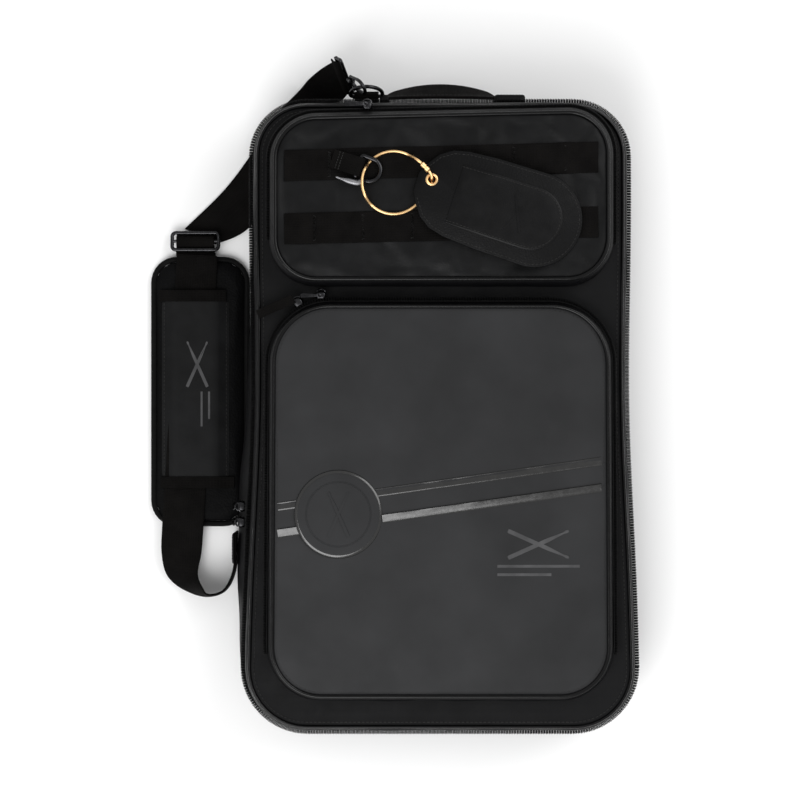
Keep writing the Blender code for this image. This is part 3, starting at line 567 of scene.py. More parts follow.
COATED = make_finish("coated_fabric", (0.0018, 0.0018, 0.0022), 0.5, kind="weave", pitch=0.9,
                     depth=0.035, mottle=0.3, patch=45, specular_ior_level=0.13)
PANEL = make_finish("smooth_panel", (0.0165, 0.0168, 0.0178), 0.5, pitch=0.8, depth=0.02, patch=60,
                    specular_ior_level=0.2)
CREASED = make_finish("creased_panel", (0.004, 0.0041, 0.0044), 0.42, pitch=1.1, depth=0.04,
                      mottle=0.35, patch=22, specular_ior_level=0.13)
PIPING = make_finish("piping", (0.002, 0.002, 0.0022), 0.2, pitch=0.9, depth=0.02, patch=18,
                     specular_ior_level=0.225)
WEBBING = make_finish("webbing", (0.0046, 0.0042, 0.004), 0.85, kind="ribs", pitch=1.15,
                      depth=0.22, patch=16, specular_ior_level=0.04)
BINDING = make_finish("binding", (0.001, 0.001, 0.001), 0.7, kind="weave", pitch=1.1,
                      depth=0.12, patch=16, specular_ior_level=0.12, sheen_weight=0.01)
TAPE = make_finish("zip_tape", (0.0012, 0.0012, 0.0014), 0.8, kind="weave", pitch=0.6, depth=0.06,
                   specular_ior_level=0.2)
TEETH = make_finish("zip_teeth", (0.006, 0.006, 0.0062), 0.45, pitch=0.7, depth=0.02,
                    specular_ior_level=0.1)
BLACK_METAL = make_finish("black_metal", (0.035, 0.035, 0.037), 0.24, metallic=1.0, pitch=0.8,
                          depth=0.012, mottle=0.3, patch=4)
SILVER = make_finish("silver", (0.24, 0.24, 0.25), 0.42, metallic=1.0, pitch=0.8, depth=0.012,
                     mottle=0.15, patch=4)
GOLD = make_finish("gold", (0.96, 0.63, 0.31), 0.36, metallic=1.0, pitch=0.7, depth=0.015,
                   mottle=0.12, patch=6)
LEATHER = make_finish("tag_leather", (0.0022, 0.0022, 0.0024), 0.46, pitch=1.3, depth=0.10,
                      patch=20, specular_ior_level=0.11)
SMOOTH_LEATHER = make_finish("tag_face", (0.003, 0.003, 0.0032), 0.36, pitch=0.9, depth=0.05,
                             patch=25, specular_ior_level=0.14)
VINYL = make_finish("gloss_vinyl", (0.006, 0.0058, 0.0056), 0.2, pitch=2.5, depth=0.008, patch=9,
                    rough_range=0.06, specular_ior_level=0.8)
PRINT = make_finish("grey_print", (0.05, 0.05, 0.052), 0.42, pitch=0.8, depth=0.02, patch=12,
                    specular_ior_level=0.3)
THREAD = make_finish("thread", (0.016, 0.0155, 0.015), 0.6, kind="weave", pitch=0.45, depth=0.08,
                     patch=6, specular_ior_level=0.3)
FOAM = make_finish("pad_fabric", (0.0008, 0.0008, 0.001), 0.66, kind="mesh", pitch=1.5,
                   depth=0.12, patch=25, specular_ior_level=0.08, sheen_weight=0.01)
LINING = make_finish("lining", (0.016, 0.016, 0.0175), 0.7, kind="weave", pitch=0.7, depth=0.04,
                     patch=40, specular_ior_level=0.3)
FLOOR = make_finish("floor", (0.92, 0.92, 0.92), 0.6, pitch=6.0, depth=0.0, mottle=0.005,
                    patch=400)
# Slots of the finishes whose slot has another name; a piece can still name its own
SLOTS = {"coated_fabric": "black_fabric", "smooth_panel": "panel", "creased_panel": "panel",
         "grey_print": "panel", "zip_tape": "zip", "zip_teeth": "zip", "binding": "webbing",
         "thread": "webbing", "tag_face": "tag_leather", "pad_fabric": "pad_mesh",
         "floor": None}


# ---------------------------------------------------------------- soft shapes


def crumple(verts, amount, size, weight):
    """Moves points by smooth noise, weight(point) of the amount."""
    for point in verts:
        share = weight(point)
        if share:
            point += noise.noise_vector(point / size) * amount * share


def simulate(verts, faces, held, pressure, growth, frames=20):
    """Cloth: the sheet swells and creases while its held points stay. Returns the new points."""
    mesh = bpy.data.meshes.new("cloth")
    mesh.from_pydata([tuple(v * MM for v in p) for p in verts], [], faces)
    obj = add_object("cloth", mesh)
    obj.vertex_groups.new(name="held").add(list(held), 1.0, "REPLACE")
    cloth = obj.modifiers.new("cloth", "CLOTH")
    settings = cloth.settings
    settings.quality = 6
    settings.mass = 0.25
    settings.tension_stiffness = settings.compression_stiffness = 20
    settings.shear_stiffness = 8
    settings.bending_stiffness = 0.4
    settings.shrink_min = -growth
    settings.use_pressure = True
    settings.uniform_pressure_force = pressure
    settings.effector_weights.gravity = 0
    settings.vertex_group_mass = "held" if held else ""
    cloth.point_cache.frame_end = frames
    scene = bpy.context.scene
    for number in range(1, frames + 1):
        scene.frame_set(number)
    settled = evaluated(obj)[0]
    scene.frame_set(1)
    discard(obj)
    return settled


def swell(verts, faces, border, crown, growth, pressure):
    """A sheet held at its border rises to at most crown, with the creases of loose cloth."""
    held = set(border)
    settled = simulate(verts, faces, held, pressure, growth)
    lifts = [after.z - before.z for before, after in zip(verts, settled)]
    most = max(1e-6, max(abs(lift) for lift in lifts))
    share = min(1.0, crown / most)
    return [before.lerp(after, share) for before, after in zip(verts, settled)]


class Surface:
    """Heights on a finished sheet, for what lies on it."""

    def __init__(self, verts, faces):
        self.tree = BVHTree.FromPolygons([tuple(v) for v in verts], faces)

    def at(self, x, y, above=0.0):
        hit = self.tree.ray_cast(Vector((x, y, 300)), Vector((0, 0, -1)))
        if hit[0] is None:
            hit = self.tree.find_nearest(Vector((x, y, 95)))
        return Vector((x, y, hit[0].z + above))


# ---------------------------------------------------------------- case

CASE_STEPS = (10, 40, 24)
CORNER_STEPS, SIDE_STEPS, END_STEPS = CASE_STEPS
HINGE_START = END_STEPS + CORNER_STEPS
HINGE_END = HINGE_START + SIDE_STEPS
ZIP_Z = 53.0
TOOTH = (3.8, 1.05, 2.0)
TOOTH_PITCH = 2.1
COIL_GAP = 1.1
TAPE_INSET, TAPE_LOW, TAPE_HIGH = 2.4, 46.5, 59.0


def bulged(points, z):
    """The rear gusset swells out on the left."""
    share = max(0.0, math.sin(math.pi * (z - 6.0) / 45.0))
    moved = []
    for x, y in points:
        if x < 0:
            amount = 10.0 * math.exp(-(((y + 60) / 130) ** 2)) * share
            x -= amount * min(1.0, -x / 150) ** 6
        moved.append((x, y))
    return moved


def shell(sections, shape):
    return loft([raised(shape(inset, z), z) for inset, z in sections])


def build_rear_half():
    outer = [(130, 7.0), (60, 6.9), (16, 6.7), (11.6, 6.9), (9.6, 8.0), (6.2, 10.2), (3.6, 14.0)]
    outer += [(1.9, 20), (1.0, 27), (0.8, 34), (1.2, 41), (2.2, 46.5), (3.4, 50.0)]
    inner = [(4.6, 50.3), (5.4, 48), (5.8, 30), (6.4, 16), (9, 12), (16, 10.7), (130, 10.6)]
    verts, faces = shell(outer + inner, lambda inset, z: bulged(case_loop(inset), z))
    crumple(verts, 1.3, 34.0, lambda p: 1.0 if 12 < p.z < 46 else 0.0)
    piece("rear_half", (verts, faces), COATED, "case", ["rear_shell"])

    path = raised(case_loop(10.8), 5.8)
    piece("rear_piping_cord", tube(path, 1.5, closed=True), PIPING, "case", ["rear_piping"])


def zip_teeth(path, z, size=TOOTH, phase=0):
    """Coil teeth across the path; the facing row uses the other phase."""
    parts = []
    for place, along in resample(raised(path, z), TOOTH_PITCH / 2)[phase::2]:
        outward = Vector((along.y, -along.x, 0))
        parts.append(lump(place, outward, Vector((0, 0, 1)), size, taper=0.9))
    return joined(parts)


def tape(path_at, low, high, inset, thickness=0.8):
    """A band of zip tape that stands on edge; path_at(inset) gives its outline."""
    far = inset + thickness
    corners = ((inset, low), (inset, high), (far, high), (far, low))
    return strip([raised(path_at(side), z) for side, z in corners])


def open_part(points):
    """The case's outline from the top of the hinge round to its foot."""
    return points[HINGE_END:] + points[: HINGE_START + 1]


def hinge_part(points):
    return points[HINGE_START : HINGE_END + 1]


def build_main_zip():
    coil = case_loop(0.7)
    rows = (("rear", "case", ZIP_Z - COIL_GAP, "rear_zip_chain"),
            ("front", "lid", ZIP_Z + COIL_GAP, "lid_zip_chain"))
    for phase, (name, body, z, node) in enumerate(rows):
        teeth = zip_teeth(open_part(coil), z, phase=phase)
        piece(name + "_zip_teeth", teeth, TEETH, body, [node])
    bands = (("rear", "case", TAPE_LOW, ZIP_Z - 0.15), ("front", "lid", ZIP_Z + 0.15, TAPE_HIGH))
    for name, body, low, high in bands:
        shape = tape(lambda inset: open_part(case_loop(inset)), low, high, TAPE_INSET)
        piece(name + "_zip_tape", shape, TAPE, body)

    # On the right the zip stays closed and runs along the hinge
    bend = ("case", "lid", (0, 0, ZIP_Z - 1.6), (0, 0, ZIP_Z + 1.6))
    side = hinge_part(coil)
    rows = [zip_teeth(side, ZIP_Z - COIL_GAP), zip_teeth(side, ZIP_Z + COIL_GAP, phase=1)]
    piece("hinge_zip_teeth", joined(rows), TEETH, bend=bend, stands_for=["hinge_zip_chain"])
    heights = [TAPE_LOW, 49.5, 51.0, 52.0, 53.0, 54.0, 55.0, 56.5, TAPE_HIGH]
    rings = [raised(hinge_part(case_loop(TAPE_INSET)), z) for z in heights]
    rings += [raised(hinge_part(case_loop(TAPE_INSET + 0.8)), z) for z in reversed(heights)]
    piece("hinge_zip_tape", strip(rings), TAPE, bend=bend)


def build_lid():
    inner = [(130, 73.9), (16, 73.6), (8.5, 72), (6.2, 68), (5.4, 60), (4.6, 56.0)]
    outer = [(3.6, 56.0), (3.3, 58.6), (3.1, 63), (3.3, 68), (4.0, 72.8), (5.5, 75.6), (7.6, 76.4)]
    outer += [(10.5, 76.2), (16, 76.3), (30, 76.5), (130, 76.5)]
    verts, faces = shell(inner + outer, lambda inset, z: case_loop(inset))
    crumple(verts, 0.8, 30.0, lambda p: 1.0 if 60 < p.z < 74 else 0.0)
    piece("lid_front", (verts, faces), COATED, "lid", ["lid_shell"])
    path = raised(case_loop(6.9), 77.4)
    shape = tube(path, 1.3, closed=True)
    piece("front_piping_cord", shape, PIPING, "lid", ["lid_piping"])
    seam = stitches(raised(case_loop(10.6), 76.5), closed=True)
    piece("front_seam_stitches", seam, THREAD, "lid", slot="black_fabric")


# ---------------------------------------------------------------- pockets

LOWER_BORDER, LOWER_PANEL_Z, LOWER_FOOT_Y = 4.6, 93.4, -186
UPPER_BORDER, UPPER_PANEL_Z, UPPER_FOOT_Y = 5.2, 99.2, 134
POCKET_TOOTH = (2.8, 1.2, 1.7)


def side_walls(loop_at, sections, name, stands_for):
    """A pocket's tray: side walls and a floor, hollow inside."""
    verts, faces = loft([raised(loop_at(inset), z) for inset, z in sections])
    crumple(verts, 0.7, 26.0, lambda p: 1.0 if 78 < p.z < 84 else 0.0)
    piece(name, (verts, faces), COATED, "lid", stands_for)


def turned_start(points):
    """The outline started half way round, so that its low side is in one run."""
    half = len(points) // 2
    return points[half:] + points[:half]


def matched(points, count):
    """The same line with that many points."""
    spaced = [(0.0, points[0])]
    for a, b in zip(points, points[1:]):
        spaced.append((spaced[-1][0] + math.dist(a, b), b))
    total = spaced[-1][0]
    found, index = [], 0
    for i in range(count):
        target = total * i / (count - 1)
        while index < len(spaced) - 2 and spaced[index + 1][0] < target:
            index += 1
        (start, a), (stop, b) = spaced[index], spaced[index + 1]
        share = (target - start) / (stop - start)
        found.append((a[0] + (b[0] - a[0]) * share, a[1] + (b[1] - a[1]) * share))
    return found


def span_above(points, low):
    """The part of a pocket's outline above a height up the bag, from right to left."""
    return [(x, y) for x, y in points if y >= low]


def pocket_panel(name, sheet, puff, rim, cord_z, finish, nodes, **tie):
    """A pocket's panel: a swollen sheet, its hollow rim and the piping round it. Returns its
    surface and its outline."""
    verts, faces, border = sheet
    verts = swell(verts, faces, border, *puff)
    shape = rimmed(verts, faces, border, rim, lining_under(verts))
    panel = piece(f"{name}_pocket_panel", shape, finish, stands_for=nodes, slot="panel", angle=65,
                  **tie)
    panel.data.materials.append(COATED)
    for polygon in panel.data.polygons[len(faces) : len(faces) + len(rim) * len(border)]:
        polygon.material_index = 1
    outline = [verts[i] for i in border]
    cord = tube(offset_loop(outline, 0.9, cord_z), 1.7, closed=True)
    piece(f"{name}_pocket_piping", cord, PIPING, stands_for=[f"{name}_flap_piping"], angle=80,
          **tie)
    return Surface(verts, faces), outline


def pocket_zip(name, loop_at, foot_y, coil_inset, tape_inset, rows):
    """The coil and tape round a pocket above its foot: one row on the lid, one on the panel."""
    ring = span_above(loop_at(coil_inset), foot_y)
    for phase, (side, body, z, low, high) in enumerate(rows):
        nodes = [] if phase else [f"{name}_pocket_zip"]
        teeth = zip_teeth(ring, z, POCKET_TOOTH, phase)
        piece(f"{name}_pocket_{side}_teeth", teeth, TEETH, body, nodes)
        band = tape(lambda inset: span_above(loop_at(inset), foot_y), low, high, tape_inset)
        piece(f"{name}_pocket_{side}_tape", band, TAPE, body)


def pocket_foot(loop_at, inset, foot_y, overlap, heights):
    """The plain fabric that closes a pocket's low end, where there is no zip."""
    foot = [(x, y) for x, y in turned_start(loop_at(inset)) if y < foot_y]
    inside = [(x, y) for x, y in turned_start(loop_at(inset + 1)) if y < foot_y + overlap]
    rings = [raised(foot, z) for z in heights]
    return strip(rings + [raised(matched(inside, len(foot)), z) for z in reversed(heights)])


def build_lower_pocket():
    tray = [(130, 77.0), (3.0, 76.9), (1.0, 77.2), (-0.4, 79.5), (-0.6, 82.5), (0.2, 84.8)]
    tray += [(1.6, 84.8), (1.4, 82), (1.8, 79.5), (4.0, 78.0), (130, 78.0)]
    side_walls(lower_loop, tray, "lower_pocket_sides", ["lower_pocket_gusset"])

    low, high = LOWER["low"] + LOWER_BORDER, LOWER["high"] - LOWER_BORDER
    half = LOWER["half_low"] - LOWER_BORDER
    sheet = grid_panel(half, low, high, (37.5, 43.5), 4.6, LOWER_PANEL_Z)
    for point in sheet[0]:
        share = (point.y - low) / (high - low)
        point.x *= 1 - 0.012 * share
    rim = [(1.6, 93.0), (2.9, 91.6), (3.9, 89.4), (4.5, 87.2), (4.4, 86.1)]
    rim += [(3.2, 86.1), (2.4, 88.5), (1.4, 90.6), (0.4, 91.6)]
    bend = ("lid", "lower_flap", (0, -190.5, 0), (0, -183.5, 0))
    surface, outline = pocket_panel("lower", sheet, (2.3, 0.002, 1.2), rim, 94.5, PANEL,
                                    ["lower_pocket_flap", "lower_pocket_lip"], bend=bend)
    seam_z = LOWER_PANEL_Z + 0.5
    seam = stitches(offset_loop(outline, -2.6, seam_z), pitch=3.6, closed=True)
    for point in seam[0]:
        point.z += surface.at(point.x, point.y).z - seam_z - 0.1
    piece("lower_panel_stitches", seam, THREAD, bend=bend, slot="panel")

    rows = (("lower", "lid", 84.9, 83.0, 85.6), ("upper", "lower_flap", 86.7, 85.9, 88.0))
    pocket_zip("lower", lower_loop, LOWER_FOOT_Y, -2.3, -0.9, rows)
    foot = pocket_foot(lower_loop, 0.4, LOWER_FOOT_Y, 0.9, (83.8, 86.6))
    piece("lower_pocket_foot", foot, COATED, "lid")
    return surface


def build_upper_pocket():
    tray = [(60, 77.0), (3.0, 76.9), (1.0, 77.3), (-0.8, 80.5), (-1.0, 84.5), (0.2, 88.2)]
    tray += [(1.6, 88.2), (1.0, 84.5), (1.4, 80.5), (4.0, 78.0), (60, 78.0)]
    side_walls(upper_loop, tray, "upper_pocket_sides", ["upper_pocket_gusset"])

    low, high = UPPER["low"] + UPPER_BORDER, UPPER["high"] - UPPER_BORDER
    half = UPPER["half_high"] - UPPER_BORDER
    sheet = grid_panel(half, low, high, (31, 31), 3.4, UPPER_PANEL_Z)
    for point in sheet[0]:
        point.y = climb(point.x, point.y)
        point.x += UPPER_CENTRE_X
    rim = [(1.7, 98.8), (3.2, 97.2), (4.6, 94.6), (5.3, 92.0), (5.2, 89.4)]
    rim += [(4.0, 89.4), (3.0, 93.0), (1.6, 96.0), (0.4, 97.4)]
    surface = pocket_panel("upper", sheet, (2.4, 0.035, 0.6), rim, 100.3, CREASED,
                           ["upper_pocket_flap"], body="upper_flap")[0]

    rows = (("lower", "lid", 88.1, 86.2, 88.8), ("upper", "upper_flap", 89.9, 89.2, 91.4))
    pocket_zip("upper", upper_loop, UPPER_FOOT_Y, -2.1, -0.7, rows)
    foot = pocket_foot(upper_loop, 0.2, UPPER_FOOT_Y, 0.5, (87.2, 88.0, 88.6, 89.2, 90.0))
    bend = ("lid", "upper_flap", (0, 0, 87.8), (0, 0, 89.4))
    piece("upper_pocket_foot", foot, COATED, bend=bend)
    return surface


# ---------------------------------------------------------------- trims on the panels

BADGE_CENTRE = Vector((-79.3, -75.7, 0))
BAND_SLOPE = 0.141


def crossed_sticks(centre, size, turn=0.0):
    """A plain pair of crossed drum sticks, as flat outlines."""
    profile = [(-1.0, 0.045), (-0.97, 0.062), (-0.3, 0.062), (0.3, 0.06), (0.8, 0.026)]
    profile += [(0.85, 0.03), (0.9, 0.042), (0.95, 0.042), (0.99, 0.024)]
    profile += [(run, -half) for run, half in reversed(profile)]
    sticks = []
    for side in (-1, 1):
        angle = turn + side * 0.42
        along = Vector((math.cos(angle), math.sin(angle), 0))
        across = Vector((-along.y, along.x, 0))
        sticks.append([centre + along * run * size + across * half * size
                       for run, half in profile])
    return sticks


def stick_relief(centre, size, turn, low, high):
    """Raised crossed sticks: the second lies a little higher than the first."""
    parts = []
    for i, outline in enumerate(crossed_sticks(centre, size, turn)):
        parts.append(loft([[Vector((p.x, p.y, z)) for p in outline]
                           for z in (low - 0.1 * i, high + 0.14 * i)]))
    return parts


def print_on(surface, outlines, low, high):
    """Flat shapes laid on a surface, between two distances above it."""
    parts = []
    for i, outline in enumerate(outlines):
        bottom = [surface.at(p.x, p.y, low) for p in outline]
        top = [surface.at(p.x, p.y, high + 0.06 * (i == 1)) for p in outline]
        parts.append(loft([bottom, top]))
    return joined(parts)


def rule(start, end, width):
    """A straight printed line as short boxes, so that it follows the panel."""
    outlines = []
    start, end = Vector(start), Vector(end)
    along = (end - start).normalized()
    across = Vector((-along.y, along.x, 0)) * width / 2
    count = max(1, round((end - start).length / 6))
    left = [start.lerp(end, i / count) + across for i in range(count + 1)]
    right = [start.lerp(end, i / count) - across for i in range(count + 1)]
    for i in range(count):
        outlines.append([right[i], right[i + 1], left[i + 1], left[i]])
    return outlines


def gloss_band(surface, start_x, end_x, base_y, lean):
    """A narrow strip of vinyl that ripples along its length; lean raises its upper side."""
    loops = []
    count = round((end_x - start_x) / 1.6)
    for i in range(count + 1):
        x = start_x + (end_x - start_x) * i / count
        y = base_y + BAND_SLOPE * x
        ripple = noise.noise(Vector((x / 16, base_y, 0)))
        other = noise.noise(Vector((x / 24, base_y, 5)))
        loop = []
        for k, lift in ((-1, -0.3), (-0.92, 0.3), (-0.5, 0.4 + 0.15 * ripple),
                        (0.0, 0.45 + lean + 0.2 * other), (0.55, 0.5 + 2 * lean + 0.25 * ripple),
                        (0.85, 0.75 + 2.2 * lean), (0.95, 0.5), (1, -0.3)):
            across = k * 3.5
            loop.append(surface.at(x - across * 0.14, y + across * 0.99, lift))
        loops.append(loop)
    return loft(loops)


def build_lower_trims(surface):
    for name, base_y, lean, badge_left, badge_right in (
        ("upper", -52.2, -0.3, -111.8, -50.4),
        ("lower", -72.8, 0.42, -110.4, -45.2),
    ):
        parts = [gloss_band(surface, start, end, base_y, lean)
                 for start, end in ((-126.5, badge_left), (badge_right, 125.0))]
        piece(f"gloss_strip_{name}", joined(parts), VINYL, "lower_flap", [f"gloss_band_{name}"],
              angle=70)

    height = surface.at(BADGE_CENTRE.x, BADGE_CENTRE.y).z

    def badge_ring(profile, closed):
        return turned([(r, height + z) for r, z in profile], BADGE_CENTRE, 96, closed)

    profile = [(34.0, -1.2), (34.0, 0.2), (33.7, 0.9), (33.0, 1.4), (32.0, 1.62), (30.5, 1.65)]
    profile += [(15.0, 1.6)]
    piece("badge_disc", badge_ring(profile, False), PANEL, "lower_flap", ["badge"], "tag_leather",
          angle=80)
    rim = ((34.3, -0.6), (34.3, 0.6), (33.9, 1.1), (32.6, 1.6), (31.9, 1.72), (31.6, 0.8))
    piece("badge_rim", badge_ring(rim, True), VINYL, "lower_flap", angle=70)
    parts = []
    for radius in (25.5, 24.6):
        circle = arc(BADGE_CENTRE.x, BADGE_CENTRE.y, radius, 0, 360, 72)
        parts.append(tube(raised(circle, height + 1.55), 0.3, sides=6, closed=True))
    centre = Vector((BADGE_CENTRE.x, BADGE_CENTRE.y, height))
    parts += stick_relief(centre, 19.0, math.radians(90), height + 1.3, height + 2.05)
    piece("badge_emboss", joined(parts), PANEL, "lower_flap", slot="tag_leather")

    marks = crossed_sticks(Vector((76, -99, 0)), 26.0)
    marks += rule((44, -116, 0), (108, -116, 0), 2.2)
    marks += rule((44, -122.5, 0), (86, -122.5, 0), 2.2)
    piece("panel_print", print_on(surface, marks, -0.4, 0.16), PRINT, "lower_flap")


ROWS = (("upper", 194.5, 201.0), ("lower", 145.5, 151.0))
ROW_ENDS = (-121.0, 122.0)
ROW_TACKS = {"upper": (-86.0, 56.5, 97.0), "lower": (-97.5, -60.0, -22.0, 30.0, 76.0)}


def row_point(surface, left_y, right_y, x, across, above):
    share = (x - ROW_ENDS[0]) / (ROW_ENDS[1] - ROW_ENDS[0])
    return surface.at(x, left_y + (right_y - left_y) * share + across, above)


def build_webbing_rows(surface):
    for name, left_y, right_y in ROWS:
        tacks = ROW_TACKS[name]
        stops = [ROW_ENDS[0], *tacks, ROW_ENDS[1]]
        edges = []
        count = 81
        for i in range(count + 1):
            x = ROW_ENDS[0] + (ROW_ENDS[1] - ROW_ENDS[0]) * i / count
            left = max(s for s in stops if s <= x + 1e-6)
            right = min(s for s in stops if s >= x - 1e-6)
            share = (x - left) / (right - left) if right > left else 0.0
            lift = 0.9 + 0.55 * math.sin(math.pi * share) ** 2 * min(1.0, (right - left) / 60)
            low, high = (row_point(surface, left_y, right_y, x, side, lift) for side in (-12, 12))
            edges.append((high, low))
        piece(f"row_webbing_{name}", webbing(edges, 1.2, 1), WEBBING, "upper_flap",
              [f"webbing_row_{name}"])
        parts = []
        for x in tacks:
            zigzag = []
            for i in range(41):
                side = 1.1 if i % 2 else -1.1
                across = -9.5 + 19 * i / 40
                zigzag.append(row_point(surface, left_y, right_y, x + side, across, 1.75))
            parts.append(tube(zigzag, 0.28, sides=5))
        piece(f"row_bar_tacks_{name}", joined(parts), THREAD, "upper_flap")


# ---------------------------------------------------------------- key clip, ring and tag

KEY_TAB_TOP = Vector((-84.0, 200.0, 0))
KEY_HOOK_PIVOT = Vector((-63.5, 193.3, 0))
KEY_HOOK_Z = 105.8


def flat_points(points, z=0.0):
    return [Vector((x, y, z)) for x, y in points]


def pierced(shape, centre, radius, low, high):
    """The shape with a round hole through it."""
    drill = turned(((radius, low), (radius, high)), centre, 32, False)
    body, tool = (add_object(name, make_mesh(name, *form))
                  for name, form in (("plate", shape), ("drill", drill)))
    modifier = body.modifiers.new("hole", "BOOLEAN")
    modifier.operation = "DIFFERENCE"
    modifier.solver = "EXACT"
    modifier.object = tool
    cut = evaluated(body)
    discard(body)
    discard(tool)
    return cut


def build_key_clip():
    along = (KEY_HOOK_PIVOT - KEY_TAB_TOP).normalized()
    length = (KEY_HOOK_PIVOT - KEY_TAB_TOP).length
    matrix = axes((KEY_TAB_TOP.x, KEY_TAB_TOP.y, KEY_HOOK_Z), along, (-along.y, along.x, 0))
    path = [(0, -3.3), (length * 0.5, -3.4), (length - 1.5, -3.2)]
    path += [(length + 3.1 * math.cos(math.radians(a)), 3.1 * math.sin(math.radians(a)))
             for a in (-70, -35, 0, 35, 75)]
    path += [(length - 3.5, 1.9), (length * 0.45, -1.2), (0, -1.7)]
    edges = [((x, 7.4, z), (x, -7.4, z)) for x, z in path]
    piece("key_tab_webbing", carried(matrix, webbing(edges, 1.3, 4)), WEBBING, "upper_flap",
          ["key_tab"])
    parts = []
    for x in (4.5, 7.0):
        row = [(x, y, -0.45 - 0.05 * x) for y in (-6.2, 0, 6.2)]
        parts.append(carried(matrix, stitches(row, 2.0, 1.5, 0.5)))
    piece("key_tab_stitches", joined(parts), THREAD, "upper_flap")

    hook = axes((*KEY_HOOK_PIVOT.xy, KEY_HOOK_Z), along, (-along.y, along.x, 0))
    half, reach = 9.0, 17.5
    bow = [(0.0, -half), (0.0, -half * 0.5), (0.0, half * 0.5), (0.0, half - 1.5), (1.2, half)]
    bow += [(reach - half - 2, half)] + arc(reach - half, 0, half, 72, -60, 9)
    bow += [(reach - half + 3, -half + 0.5), (reach - half - 0.5, -half)]
    path = smooth_path(flat_points(bow), 4)
    sizes = [1.8] * len(path)
    sizes[0] = sizes[-1] = 1.1
    piece("key_hook_bow", carried(hook, tube(path, sizes, 14)), BLACK_METAL, "key_clip",
          ["key_hook"])
    lever = flat_points([(-14, -13), (-6, -13), (2.5, -12.3), (5, -10.6), (6.9, -8.8)])
    lever = smooth_path(lever, 5)
    sizes = [0.7 + 1.6 * eased(i, 2, 7) - 0.9 * eased(i, 15, 20) for i in range(len(lever))]
    piece("key_lever_arm", carried(hook, tube(lever, sizes, 12, flat=0.62)), SILVER,
          "key_clip_lever", ["key_lever"])


RING_CENTRE = (-36.5, 181.1)
RING_LOW_Z, RING_HIGH_Z, BARREL_Z = 102.8, 108.8, 109.8


def ring_point(angle):
    """The cable's middle: it climbs through the tag's eyelet and over the key hook."""
    height = RING_LOW_Z
    height += (BARREL_Z - RING_LOW_Z) * eased(angle, 1.8, 6.2)
    height += (RING_HIGH_Z - RING_LOW_Z) * eased(angle, -132, -158) * eased(angle, -219, -202)
    height += (BARREL_Z - RING_LOW_Z) * eased(angle, -296, -318)
    drawn = math.exp(-(((angle - 4) / 28) ** 2)) + math.exp(-(((angle + 356) / 28) ** 2))
    radius = 24.3 + 5.4 * drawn
    turn = math.radians(angle)
    x, y = RING_CENTRE
    return Vector((x + radius * math.cos(turn), y + radius * math.sin(turn), height))


def build_cable_ring():
    start, end = 17.0, 34.6 - 360
    angles = [start - (start - 8) * i / 8 for i in range(8)]
    angles += [8.0 - 9.0 * i / 18 for i in range(18)]
    angles += [-1.0 + (end + 1.0) * i / 150 for i in range(151)]
    path = [ring_point(angle) for angle in angles]
    piece("gold_cable", tube(path, 1.15, 12), GOLD, "key_cable", ["cable_ring"])
    low, high = path[0], path[-1]
    along = (high - low).normalized()
    half = (high - low).length / 2 - 0.3
    matrix = axes((low + high) / 2, along, (0, 0, 1))
    profile = [(-1, 1.3), (-0.97, 1.7), (-0.8, 2.2), (-0.25, 2.2), (-0.2, 1.7), (0.0, 1.7)]
    profile += [(0.05, 2.2), (0.8, 2.2), (0.97, 1.7), (1, 1.3)]
    path = [Vector((t * half, 0, 0)) for t, r in profile]
    shape = tube(path, [r for t, r in profile], 18)
    piece("gold_barrel", carried(matrix, shape), GOLD, "key_cable_barrel", ["ring_barrel"],
          angle=30)


TAG_PIVOT = (-6.9, 183.2)
TAG_EYELET = (11.0, 4.8)
TAG_NOSE = ((0.0, 8.0), (3.5, 15.0), (11.0, 25.5), (20.0, 31.5), (32.0, 34.4), (55.0, 36.2))


def tag_edge(inset, start=0):
    """The tag's outline from its nose along one side, round the far end and back."""
    lower = [(x + inset * 0.6, inset - half) for x, half in TAG_NOSE[start:]]
    upper = [(x + inset * 0.6, half - inset) for x, half in reversed(TAG_NOSE[start:])]
    return lower + arc(96, 0, 37 - inset, -90, 90, 30) + [(96.0, 37 - inset)] + upper


